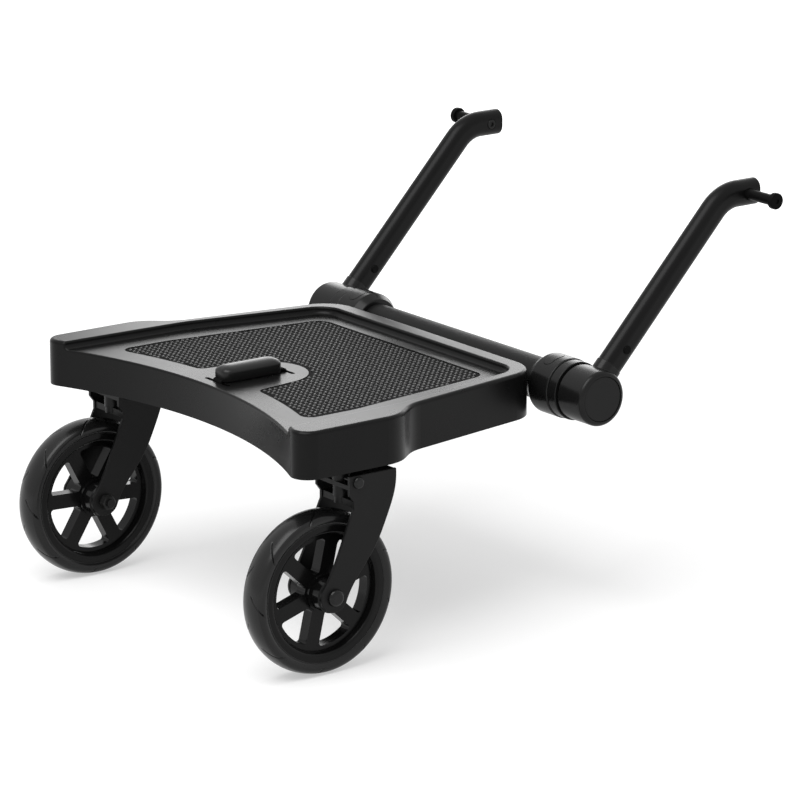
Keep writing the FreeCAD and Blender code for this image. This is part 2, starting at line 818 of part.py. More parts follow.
# Grip mat
def mat():
    """The mat let into the tray floor, with a tongue-shaped opening for the handle."""
    z1 = tray_floor_z - mat_sink
    z0 = z1 - mat_thickness
    corners = [(mat_front_half, mat_front_y), mat_side]
    bends = {mat_side: mat_side_round}
    block = plan_solid(mat_front_y, corners, bends, mat_rear_mid_y, mat_side[0], z0, z1)
    rear_y_ = rear_arc_y(mat_side[0], mat_rear_mid_y)
    rounds = [(mat_front_half, mat_front_y, mat_front_corner),
              (mat_side[0], rear_y_, mat_rear_corner)]
    block = rounded(block, both_sides(rounds))
    end_y = tongue_end_y - tongue_end_radius
    deep_y = mat_rear_mid_y * 2 - mat_front_y
    slope = (tongue_mouth_half - tongue_end_radius) / (end_y - tongue_mouth_y)
    deep_half = tongue_mouth_half + slope * (tongue_mouth_y - deep_y)
    plan = [(tongue_end_radius, end_y), (deep_half, deep_y),
            (-deep_half, deep_y), (-tongue_end_radius, end_y)]
    tongue = prism(plan, z0 - overrun, z1 + overrun)
    tongue = tongue.fuse(tube_z(tongue_end_radius, z0 - overrun, z1 + overrun, 0, end_y))
    block = block.cut(tongue)
    mouth = [e for e in block.Edges if e.BoundBox.ZLength > mat_thickness * 0.9
             and abs(abs(e.CenterOfMass.x) - tongue_mouth_half) < overrun
             and e.CenterOfMass.y < tongue_mouth_y + overrun * 2]
    return block.makeFillet(tongue_mouth_round, mouth)


def mat_pocket():
    """The recess in the tray floor that the mat drops into, a little wider all round."""
    z0 = tray_floor_z - mat_sink - mat_thickness
    under = [f for f in mat().Faces if f.BoundBox.ZMax < z0 + seat_clearance][0]
    outline = under.OuterWire.makeOffset2D(mat_side_gap)
    return Part.Face(outline).extrude(V(0, 0, mat_thickness + mat_sink + tray_depth))


# Lifting handle on its strap
def handle_grip():
    """The soft moulded grip that lies on the board between the two strap slots."""
    z0 = tray_floor_z + handle_gap
    w = handle_half_width
    grip = box(-w, w, handle_y_back, handle_y_front, z0, z0 + handle_height)
    uprights = edges_where(grip, lambda e: e.BoundBox.ZLength > handle_height * 0.9)
    grip = grip.makeFillet(handle_corner_round, uprights)
    top = edges_where(grip, lambda e: abs(e.CenterOfMass.z - z0 - handle_height) < seat_clearance)
    grip = grip.makeFillet(handle_top_round, top)
    run = box(-strap_half_width, strap_half_width, handle_y_back - overrun, handle_y_front + overrun,
              z0 + strap_run_lift, z0 + strap_run_lift + strap_thickness)
    return grip.cut(run)


def handle_strap():
    """The strap: a run through the grip and two legs that drop through the board."""
    z0 = tray_floor_z + handle_gap + strap_run_lift
    half = strap_thickness / 2
    back = strap_back_y - half
    front = strap_front_y + half
    run = box(-strap_half_width, strap_half_width, back, front, z0, z0 + strap_thickness)
    legs = []
    for y in (strap_back_y, strap_front_y):
        legs.append(box(-strap_half_width, strap_half_width, y - half, y + half, strap_foot_z, z0 + half))
    strap = run.fuse(legs).removeSplitter()
    top_z = z0 + strap_thickness
    outer = edges_where(strap, lambda e: abs(e.CenterOfMass.z - top_z) < seat_clearance
                        and (abs(e.CenterOfMass.y - back) < seat_clearance
                             or abs(e.CenterOfMass.y - front) < seat_clearance))
    return strap.makeFillet(strap_thickness * strap_round_share, outer)


def strap_stops():
    """The two bars sewn to the ends of the strap, under the board."""
    bars = []
    for y in (strap_back_y, strap_front_y):
        bar = box(-stop_half_width, stop_half_width, y - stop_half_depth, y + stop_half_depth,
                  strap_foot_z, strap_foot_z + stop_height)
        bar = bar.makeFillet(stop_round, edges_where(bar, lambda e: e.BoundBox.ZLength > stop_height * 0.9))
        half = strap_thickness / 2
        bar = bar.cut(box(-strap_half_width, strap_half_width, y - half, y + half,
                          strap_foot_z - overrun, strap_foot_z + stop_height + overrun))
        bars.append(bar)
    return Part.makeCompound(bars)


# Cross tube and its fixings
def bolt_positions():
    """The X positions of the bolts that hold the cross tube to the board."""
    found = []
    for side in (-1, 1):
        for step in (-1, 1):
            found.append(side * saddle_x + step * bolt_spacing_half)
    return found


def cross_tube():
    """The round tube along the front of the board."""
    h = cross_half_length
    tube = tube_x(cross_radius, -h, h, 0, cross_z)
    tube = tube.cut(tube_x(cross_radius - cross_wall, -h - overrun, h + overrun, 0, cross_z))
    for x in bolt_positions():
        tube = tube.cut(Part.makeCylinder(bolt_radius, cross_radius, V(x, 0, cross_z), V(0, -1, 0)))
    return tube


def saddle(side):
    """A hollowed block between the board's front wall and the cross tube."""
    x = side * saddle_x
    block = box(x - saddle_half_length, x + saddle_half_length, board_front_y, 0,
                cross_z - saddle_half_height, cross_z + saddle_half_height)
    deep = edges_where(block, lambda e: e.BoundBox.XLength > saddle_half_length
                       and abs(e.CenterOfMass.y - board_front_y) < seat_clearance)
    block = block.makeFillet(saddle_corner, deep)
    reach = saddle_half_length + overrun
    block = block.cut(tube_x(cross_radius, x - reach, x + reach, 0, cross_z))
    for step in (-1, 1):
        start = V(x + step * bolt_spacing_half, -board_front_y, cross_z)
        block = block.cut(Part.makeCylinder(bolt_radius, -2 * board_front_y, start, V(0, -1, 0)))
    solids = sorted(block.Solids, key=lambda s: s.Volume)
    return solids[-1]


def cross_bolts():
    """The four socket-head bolts from inside the board into the cross tube."""
    seat_y = board_front_y - board_wall - bolt_washer
    tip_y = -cross_radius + cross_wall + tube_nut_height + bolt_tail
    bolts = []
    for x in bolt_positions():
        shank = Part.makeCylinder(bolt_radius, tip_y - seat_y, V(x, seat_y, cross_z), Y_AXIS)
        head_start = V(x, seat_y - bolt_head_height, cross_z)
        head = Part.makeCylinder(bolt_head_radius, bolt_head_height, head_start, Y_AXIS)
        bolt = shank.fuse(head).removeSplitter()
        socket = Part.makeCylinder(bolt_socket_radius, bolt_socket_depth, head_start, Y_AXIS)
        bolts.append(bolt.cut(socket))
    return Part.makeCompound(bolts)


def cross_washers():
    """The washers under the four bolt heads."""
    seat_y = board_front_y - board_wall - bolt_washer
    rings = []
    for x in bolt_positions():
        ring = Part.makeCylinder(bolt_washer_radius, bolt_washer, V(x, seat_y, cross_z), Y_AXIS)
        start = V(x, seat_y - bolt_washer, cross_z)
        rings.append(ring.cut(Part.makeCylinder(bolt_radius, bolt_washer * 3, start, Y_AXIS)))
    return Part.makeCompound(rings)


def tube_nuts():
    """The four nuts set inside the cross tube."""
    inner = cross_radius - cross_wall
    nuts = []
    for x in bolt_positions():
        start = V(x, -cross_radius, cross_z)
        nut = Part.makeCylinder(tube_nut_radius, tube_nut_height + cross_wall, start, Y_AXIS)
        nut = nut.common(tube_x(inner, x - cross_radius, x + cross_radius, 0, cross_z))
        nuts.append(nut.cut(Part.makeCylinder(bolt_radius, cross_radius, start, Y_AXIS)))
    return Part.makeCompound(nuts)


# Width sleeve, guide tube and lock ring
def button_outline(grow, r0, r1):
    """An upright capsule block over the button's place on the sleeve, before it is leant to the rear."""
    half_w = button_half_width + grow
    half_l = button_half_length + grow
    straight = half_l - half_w
    core = box(button_x - half_w, button_x + half_w, -straight, straight, r0, r1)
    ends = [tube_z(half_w, r0, r1, button_x, straight), tube_z(half_w, r0, r1, button_x, -straight)]
    return core.fuse(ends).removeSplitter()


def lean(shape):
    """Turns a piece built above the cross axis back by the lean of the button and lifts it to the tube."""
    piece = shape.copy()
    piece.rotate(V(0, 0, 0), X_AXIS, button_lean)
    piece.translate(V(0, 0, cross_z))
    return piece


def button_levels():
    """The radii of the button's foot, flange top and pocket."""
    top = sleeve_radius + button_stand
    foot = top - button_depth
    return foot, foot + button_flange_thickness, top


def sleeve():
    """The tapered sleeve that slides on the cross tube, with the pocket for its button, on the right."""
    bore = cross_radius + running_clearance
    body = turned_x([(sleeve_inner_x, bore), (sleeve_inner_x, sleeve_mouth_radius),
                     (sleeve_shoulder_x, sleeve_radius), (sleeve_outer_x, sleeve_radius),
                     (sleeve_outer_x, bore)], 0, cross_z)
    ends = edges_where(body, lambda e: (abs(e.CenterOfMass.x - sleeve_outer_x) < seat_clearance
                                        or abs(e.CenterOfMass.x - sleeve_inner_x) < seat_clearance
                                        or abs(e.CenterOfMass.x - sleeve_shoulder_x) < seat_clearance)
                       and e.Length > 2 * math.pi * (sleeve_mouth_radius - seat_clearance))
    body = body.makeFillet(sleeve_edge_round, ends)
    foot, flange, top = button_levels()
    pocket = button_outline(button_flange + button_side_gap, pocket_floor_radius, flange + thrust_clearance)
    mouth = button_outline(button_side_gap, pocket_floor_radius, top + overrun)
    return body.cut(lean(pocket.fuse(mouth)))


def button():
    """The oval push button with its hidden flange, on the right."""
    foot, flange, top = button_levels()
    head = button_outline(0, foot, top + overrun)
    head = head.common(tube_x(top, sleeve_inner_x, sleeve_outer_x, 0, 0))
    rims = edges_where(head, lambda e: e.BoundBox.ZMin > foot + button_flange_thickness)
    head = head.makeFillet(button_round, rims)
    skirt = button_outline(button_flange, foot, flange)
    return lean(head.fuse(skirt).removeSplitter())


def lock_ring():
    """The ring between sleeve and hinge drum, closed at its outer end, on the right."""
    x0 = sleeve_outer_x + seam_gap
    wall_x = lock_ring_outer_x - lock_ring_wall
    bore = cross_radius + running_clearance
    boss_x = drum_inner_x - thrust_clearance
    ring = turned_x([(x0, bore), (x0, lock_ring_radius), (lock_ring_outer_x, lock_ring_radius),
                     (lock_ring_outer_x, ring_boss_radius), (boss_x, ring_boss_radius),
                     (boss_x, hinge_pin_radius), (wall_x, hinge_pin_radius), (wall_x, bore)], 0, cross_z)
    rims = edges_where(ring, lambda e: e.Length > 2 * math.pi * (lock_ring_radius - seat_clearance)
                       and e.BoundBox.XLength < seat_clearance)
    return ring.makeFillet(lock_ring_round, rims)


def guide_tube():
    """The tube that slides inside the cross tube and carries the hinge, on the right."""
    outer = cross_radius - cross_wall - running_clearance
    wall_x = lock_ring_outer_x - lock_ring_wall
    tube = tube_x(outer, guide_inner_x, wall_x, 0, cross_z)
    return tube.cut(tube_x(outer - guide_wall, guide_inner_x - overrun, wall_x + overrun, 0, cross_z))


def hinge_pin():
    """The pin the drum turns on, fixed in the lock ring, on the right."""
    wall_x = lock_ring_outer_x - lock_ring_wall
    head_x = drum_outer_x - cap_thickness - hinge_head_height - thrust_clearance * 2
    pin = tube_x(hinge_pin_radius, wall_x - hinge_head_height, head_x, 0, cross_z)
    head = tube_x(hinge_head_radius, head_x, head_x + hinge_head_height, 0, cross_z)
    tail = tube_x(hinge_head_radius, wall_x - hinge_head_height, wall_x, 0, cross_z)
    return pin.fuse([head, tail]).removeSplitter()


# Arm hinge
def along_arm(reach):
    """A point on the rising part of the arm at a distance from the cross axis."""
    a = math.radians(arm_rise)
    return V(arm_x, reach * math.cos(a), cross_z + reach * math.sin(a))


def arm_direction():
    """The direction of the rising part of the arm."""
    a = math.radians(arm_rise)
    return V(0, math.cos(a), math.sin(a))


def on_neck_foot(edge):
    """Whether an edge runs round the foot of the neck, where it stands on the drum."""
    axis = V(arm_x, 0, cross_z)
    for point in edge.discretize(5):
        out = point - axis
        radius = math.hypot(out.y, out.z)
        beside = abs(out.x) < arm_half_width + neck_margin + seat_clearance
        if abs(radius - drum_radius) > seat_clearance or not beside or out.dot(arm_direction()) < 0:
            return False
    return True


def drum():
    """The hinge drum with the socket for the arm, on the right."""
    body = tube_x(drum_radius, drum_inner_x, drum_outer_x, 0, cross_z)
    outer = edges_where(body, lambda e: abs(e.CenterOfMass.x - drum_outer_x) < seat_clearance)
    body = body.makeFillet(drum_edge_round, outer)
    inner = edges_where(body, lambda e: abs(e.CenterOfMass.x - drum_inner_x) < seat_clearance)
    body = body.makeFillet(drum_inner_round, inner)
    neck = arm_bar(-neck_margin, 0, neck_reach)
    body = body.fuse(neck).removeSplitter()
    lip_centre = along_arm(neck_reach)
    lip = edges_where(body, lambda e: abs((e.CenterOfMass - lip_centre).dot(arm_direction())) < neck_round)
    body = body.makeFillet(neck_round, lip)
    body = body.makeFillet(neck_foot_round, edges_where(body, on_neck_foot))
    body = body.cut(arm_bar(arm_root_drop, arm_root, neck_reach + overrun))
    body = body.cut(tube_x(hinge_pin_radius + running_clearance, drum_inner_x - overrun,
                           drum_outer_x + overrun, 0, cross_z))
    pocket_x = drum_outer_x - cap_thickness - hinge_head_height - thrust_clearance * 3
    body = body.cut(tube_x(hinge_pocket_radius, pocket_x, drum_outer_x + overrun, 0, cross_z))
    cap_x = drum_outer_x - cap_thickness - cap_inset
    return body.cut(tube_x(cap_radius + cap_side_gap, cap_x, drum_outer_x + overrun, 0, cross_z))


def end_cap():
    """The round cap let into the end of the drum, on the right."""
    cap_x = drum_outer_x - cap_thickness - cap_inset
    cap = tube_x(cap_radius, cap_x, drum_outer_x - cap_inset, 0, cross_z)
    rim_edge = edges_where(cap, lambda e: abs(e.CenterOfMass.x - drum_outer_x + cap_inset) < seat_clearance)
    return cap.makeFillet(cap_round, rim_edge)


# Arms
def arm_outline(drop, centre, upward):
    """The flat-oval outline of the arm in a plane across its centre line, drawn in by a drop."""
    half_w = arm_half_width - drop
    flat = upward * (arm_half_depth - arm_half_width)
    side = X_AXIS * half_w
    crest = upward * half_w
    top = centre + flat
    foot = centre - flat
    edges = [Part.LineSegment(foot + side, top + side).toShape(),
             Part.Arc(top + side, top + crest, top - side).toShape(),
             Part.LineSegment(top - side, foot - side).toShape(),
             Part.Arc(foot - side, foot - crest, foot + side).toShape()]
    return Part.Face(Part.Wire(edges))


def arm_bar(drop, reach0, reach1):
    """A straight length of flat-oval bar along the rising part of the arm."""
    upward = X_AXIS.cross(arm_direction())
    return arm_outline(drop, along_arm(reach0), upward).extrude(arm_direction() * (reach1 - reach0))


def arm_sweep(drop, reach0, end_y):
    """The flat-oval bar from a place on the rising part, round the bend and level to an end."""
    bend_reach = arm_height / math.sin(rise_angle) - arm_bend_radius * math.tan(rise_angle / 2)
    rising = arm_bar(drop, reach0, bend_reach)
    upward = X_AXIS.cross(arm_direction())
    centre = V(arm_x, bend_end_y, arm_tip_z - arm_bend_radius)
    bend = arm_outline(drop, along_arm(bend_reach), upward).revolve(centre, X_AXIS, -arm_rise)
    level = arm_outline(drop, V(arm_x, bend_end_y, arm_tip_z), Z_AXIS).extrude(V(0, end_y - bend_end_y, 0))
    return rising.fuse([bend, level]).removeSplitter()


def arm():
    """The bent flat-oval tube with a necked root and a plugged, rounded tip, on the right."""
    body = arm_sweep(0, neck_reach, arm_tip_y)
    end = edges_where(body, lambda e: abs(e.BoundBox.YMin - arm_tip_y) < seat_clearance)
    body = body.makeFillet(tip_round, end)
    body = body.fuse(arm_bar(arm_root_drop, arm_root, neck_reach)).removeSplitter()
    body = body.cut(arm_sweep(arm_wall, arm_root - overrun, plug_y))
    reach = arm_half_width + overrun
    body = body.cut(tube_x(stud_root_radius, arm_x - reach, arm_x + reach, stud_y, arm_tip_z))
    seat_x = arm_x - arm_half_width + tip_screw_head
    sink = tip_screw_head_radius + tip_screw_gap
    body = body.cut(tube_x(sink, arm_x - reach, seat_x, stud_y, arm_tip_z))
    foot_x = arm_x + arm_half_width - stud_foot / 2
    body = body.cut(tube_x(stud_foot_radius, foot_x, arm_x + reach, stud_y, arm_tip_z))
    at = along_arm(arm_rivet_reach)
    return body.cut(tube_x(arm_rivet_radius, arm_x - reach, arm_x + reach, at.y, at.z))


def arm_rivet():
    """The rivet through the lower part of the arm, with a low head on each side, on the right."""
    at = along_arm(arm_rivet_reach)
    length = arm_half_width + arm_rivet_head_height
    rivet = tube_x(arm_rivet_radius, -length, length, 0, 0)
    round_over = arm_rivet_head_height * arm_rivet_round_share
    start = V(arm_half_width, 0, 0)
    head = dome(arm_rivet_head_radius, arm_rivet_head_height, round_over, start, X_AXIS)
    rivet = rivet.fuse([head, mirrored(head)])
    rivet.translate(V(arm_x, at.y, at.z))
    return rivet


# Stud and the screw that holds it
def stud():
    """The mushroom-headed stud on the outside of the arm tip, on the right."""
    foot_x = arm_x + arm_half_width - stud_foot / 2
    foot = tube_x(stud_foot_radius, foot_x, foot_x + stud_foot, 0, 0)
    neck = tube_x(stud_radius, foot_x, stud_head_x + stud_head / 2, 0, 0)
    root_x = arm_x - arm_half_width * stud_root_share
    root = tube_x(stud_root_radius, root_x, foot_x, 0, 0)
    head = tube_x(stud_head_radius, stud_head_x, stud_head_x + stud_head, 0, 0)
    rims = edges_where(head, lambda e: e.BoundBox.XLength < seat_clearance)
    head = head.makeFillet(stud_head_round, rims)
    body = head.fuse([neck, foot, root]).removeSplitter()
    face_x = stud_head_x + stud_head
    body = body.cut(tube_x(stud_dimple_radius, face_x - stud_dimple, face_x + overrun, 0, 0))
    body.translate(V(0, stud_y, arm_tip_z))
    return body


def tip_screw():
    """The socket-head screw let into the inside of the arm tip, on the right."""
    head_x = arm_x - arm_half_width - tip_screw_stand
    seat_x = arm_x - arm_half_width + tip_screw_head
    head = tube_x(tip_screw_head_radius, head_x, seat_x, 0, 0)
    head_rim = edges_where(head, lambda e: abs(e.CenterOfMass.x - head_x) < seat_clearance)
    head = head.makeFillet(tip_screw_round, head_rim)
    shank = tube_x(stud_root_radius, seat_x, arm_x - arm_half_width * stud_root_share, 0, 0)
    screw = head.fuse(shank).removeSplitter()
    points = []
    for i in range(6):
        a = i * math.pi / 3
        y = tip_screw_socket_radius * math.cos(a)
        z = tip_screw_socket_radius * math.sin(a)
        points.append(V(head_x - overrun, y, z))
    socket = Part.Face(Part.makePolygon(points + [points[0]])).extrude(V(overrun + tip_screw_socket, 0, 0))
    screw = screw.cut(socket)
    screw.translate(V(0, stud_y, arm_tip_z))
    return screw


# Write every piece
save("board", board())
save("grip_mat", mat())
save("handle_grip", handle_grip())
save("handle_strap", handle_strap())
save("strap_stops", strap_stops())
save("cross_tube", cross_tube())
save("left_saddle", saddle(-1))
save("right_saddle", saddle(1))
save("cross_bolts", cross_bolts())
save("cross_washers", cross_washers())
save("tube_nuts", tube_nuts())
save("right_rim", rim(right_spoke_turn))
save("left_rim", mirrored(rim(left_spoke_turn)))
save_pair("tyre", tyre())
save_pair("wheel_bearings", bearings())
save_pair("axle", axle_bolt())
save_pair("axle_nut", axle_nut())
save_pair("axle_washers", axle_washers())
save_pair("fork", fork())
save_pair("kingpin", kingpin())
save_pair("kingpin_clip", kingpin_clip())
save_pair("kingpin_bush", bush())
save_pair("cross_rivet", cross_rivet())
save_pair("sleeve", sleeve())
save_pair("sleeve_button", button())
save_pair("lock_ring", lock_ring())
save_pair("guide_tube", guide_tube())
save_pair("hinge_pin", hinge_pin())
save_pair("hinge_drum", drum())
save_pair("end_cap", end_cap())
save_pair("arm", arm())
save_pair("arm_rivet", arm_rivet())
save_pair("stud", stud())
save_pair("tip_screw", tip_screw())
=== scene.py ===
"""A ride-on board for the back of a pushchair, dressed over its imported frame."""
import logging
import math
from dataclasses import dataclass
from enum import Enum
from typing import Callable, Sequence

import bmesh
import bpy
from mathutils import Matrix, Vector


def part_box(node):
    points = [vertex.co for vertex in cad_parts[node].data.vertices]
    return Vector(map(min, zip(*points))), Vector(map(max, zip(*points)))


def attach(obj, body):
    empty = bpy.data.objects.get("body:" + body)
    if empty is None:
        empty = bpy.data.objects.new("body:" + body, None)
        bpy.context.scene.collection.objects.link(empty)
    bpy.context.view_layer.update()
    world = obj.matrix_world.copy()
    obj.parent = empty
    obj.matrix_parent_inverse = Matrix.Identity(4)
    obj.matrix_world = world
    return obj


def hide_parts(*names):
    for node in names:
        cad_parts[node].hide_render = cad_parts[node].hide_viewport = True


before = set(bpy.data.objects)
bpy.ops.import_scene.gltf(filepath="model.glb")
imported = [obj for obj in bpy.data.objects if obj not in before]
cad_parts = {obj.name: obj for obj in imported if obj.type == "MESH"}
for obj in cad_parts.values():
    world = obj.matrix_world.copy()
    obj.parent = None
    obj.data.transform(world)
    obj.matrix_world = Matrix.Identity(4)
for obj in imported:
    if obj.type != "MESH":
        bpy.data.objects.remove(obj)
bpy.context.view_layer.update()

LOG = logging.getLogger("ride_on_board")
MM = 0.001
MERGE_GAP = 1e-6
SAME_LEVEL = 1e-5
SQUARE_ON = 0.9
WHITE = (1.0, 1.0, 1.0, 1.0)
Colour = tuple[float, float, float]


class Side(Enum):
    """The two sides of the board, by the word that starts their node names."""

    LEFT = "left"
    RIGHT = "right"


class Texture(Enum):
    """The kinds of fine relief that a finish can carry."""

    GRAIN = "moulded grain"
    COAT = "powder coat"
    RUBBER = "rubber skin"
    WEAVE = "webbing weave"
    BRUSHED = "turned metal"


# Modelling helpers


def only(obj: bpy.types.Object) -> None:
    """Leaves one object selected and active.

    Args:
        obj: The object.
    """
    bpy.ops.object.select_all(action="DESELECT")
    obj.select_set(True)
    bpy.context.view_layer.objects.active = obj


def edit(obj: bpy.types.Object) -> bmesh.types.BMesh:
    """Opens an object in edit mode with nothing selected.

    Args:
        obj: The object to edit.

    Returns:
        The live edit mesh.
    """
    only(obj)
    bpy.ops.object.mode_set(mode="EDIT")
    bpy.ops.mesh.select_all(action="DESELECT")
    return bmesh.from_edit_mesh(obj.data)


def close(obj: bpy.types.Object) -> None:
    """Goes back to object mode."""
    bpy.ops.object.mode_set(mode="OBJECT")
    obj.data.update()


def pick_faces(obj: bpy.types.Object, test: Callable[[bmesh.types.BMFace], bool]) -> None:
    """Selects the faces that pass a test.

    Args:
        obj: The object that is in edit mode.
        test: Says whether a face is wanted.
    """
    bpy.ops.mesh.select_mode(type="FACE")
    bpy.ops.mesh.select_all(action="DESELECT")
    mesh = bmesh.from_edit_mesh(obj.data)
    for face in [face for face in mesh.faces if test(face)]:
        face.select_set(True)
    bmesh.update_edit_mesh(obj.data)


def pick_edges(obj: bpy.types.Object, test: Callable[[bmesh.types.BMEdge], bool]) -> None:
    """Selects the edges that pass a test.

    Args:
        obj: The object that is in edit mode.
        test: Says whether an edge is wanted.
    """
    bpy.ops.mesh.select_mode(type="EDGE")
    bpy.ops.mesh.select_all(action="DESELECT")
    mesh = bmesh.from_edit_mesh(obj.data)
    for edge in [edge for edge in mesh.edges if test(edge)]:
        edge.select_set(True)
    bmesh.update_edit_mesh(obj.data)


def modify(obj: bpy.types.Object, kind: str, **settings: object) -> None:
    """Adds a modifier, sets it and applies it.

    Args:
        obj: The object that gets it.
        kind: The modifier's type.
        settings: Its settings by name.
    """
    only(obj)
    modifier = obj.modifiers.new(kind.lower(), kind)
    for key, value in settings.items():
        setattr(modifier, key, value)
    bpy.ops.object.modifier_apply(modifier=modifier.name)


def settle(obj: bpy.types.Object, name: str, smooth_angle: float) -> bpy.types.Object:
    """Names a finished piece, puts its place into its mesh and smooths it.

    Args:
        obj: The finished piece.
        name: Its name.
        smooth_angle: The angle in degrees under which two faces shade as one.

    Returns:
        The same piece.
    """
    only(obj)
    bpy.ops.object.transform_apply(location=True, rotation=True, scale=True)
    bpy.ops.object.mode_set(mode="EDIT")
    bpy.ops.mesh.select_all(action="SELECT")
    bpy.ops.mesh.remove_doubles(threshold=MERGE_GAP)
    bpy.ops.mesh.normals_make_consistent(inside=False)
    bpy.ops.object.mode_set(mode="OBJECT")
    bpy.ops.object.shade_smooth_by_angle(angle=math.radians(smooth_angle))
    obj.name = name
    obj.data.name = name
    return obj


def wear(obj: bpy.types.Object, material: bpy.types.Material) -> None:
    """Gives an object one material."""
    obj.data.materials.clear()
    obj.data.materials.append(material)


# Shader building


class Shader:
    """A small wrapper that adds and joins nodes in one tree."""

    def __init__(self, tree: bpy.types.NodeTree) -> None:
        """Keeps the tree."""
        self.tree = tree

    def add(self, kind: str, **values: object) -> bpy.types.Node:
        """Adds a node and sets its fields and inputs.

        Args:
            kind: The node's type without its ShaderNode prefix, or a Node type.
            values: Fields of the node, or inputs by name with underscores for spaces.

        Returns:
            The new node.
        """
        full = kind if kind.startswith("Node") else "ShaderNode" + kind
        node = self.tree.nodes.new(full)
        for key, value in values.items():
            name = key.replace("_", " ")
            if name in node.inputs:
                self.feed(value, node.inputs[name])
            else:
                setattr(node, key, value)
        return node

    def feed(self, value: object, socket: bpy.types.NodeSocket) -> None:
        """Links an output to a socket, or sets the socket to a value.

        Args:
            value: The output or the value.
            socket: The input that takes it.
        """
        if isinstance(value, bpy.types.NodeSocket):
            self.tree.links.new(value, socket)
        else:
            socket.default_value = value

    def math(self, operation: str, a: object, b: object = 0.0) -> bpy.types.NodeSocket:
        """One arithmetic step.

        Args:
            operation: The Math node's operation.
            a: The first value or socket.
            b: The second value or socket.

        Returns:
            The result's socket.
        """
        node = self.add("Math", operation=operation)
        self.feed(a, node.inputs[0])
        self.feed(b, node.inputs[1])
        return node.outputs[0]

    def span(self, value: bpy.types.NodeSocket, low: float, high: float) -> bpy.types.NodeSocket:
        """Maps 0..1 to low..high.

        Args:
            value: The mask.
            low: The result at 0.
            high: The result at 1.

        Returns:
            The mapped socket.
        """
        node = self.add("MapRange", Value=value, To_Min=low, To_Max=high)
        return node.outputs["Result"]


class EffectGroup:
    """A shader node group that is built once and placed in many materials."""

    def __init__(self, name: str, inputs: Sequence[tuple[str, str]], outputs: Sequence[str]) -> None:
        """Makes the group and its sockets.

        Args:
            name: The group's name.
            inputs: Names of the inputs with Vector or Float.
            outputs: Names of the value outputs.
        """
        self.tree = bpy.data.node_groups.new(name, "ShaderNodeTree")
        for label, kind in inputs:
            self.tree.interface.new_socket(name=label, in_out="INPUT", socket_type="NodeSocket" + kind)
        for label in outputs:
            self.tree.interface.new_socket(name=label, in_out="OUTPUT", socket_type="NodeSocketFloat")
        self.shader = Shader(self.tree)
        self.source = self.shader.add("NodeGroupInput")
        self.sink = self.shader.add("NodeGroupOutput")

    def given(self, label: str) -> bpy.types.NodeSocket:
        """The socket of one of the group's inputs."""
        return self.source.outputs[label]

    def give(self, label: str, value: bpy.types.NodeSocket) -> None:
        """Sends a socket to one of the group's outputs."""
        self.tree.links.new(value, self.sink.inputs[label])

    def place(self, shader: Shader, **values: object) -> bpy.types.Node:
        """Puts the group into a material.

        Args:
            shader: The material's tree.
            values: The group's inputs.

        Returns:
            The group node.
        """
        node = shader.add("Group", node_tree=self.tree)
        for key, value in values.items():
            shader.feed(value, node.inputs[key])
        return node


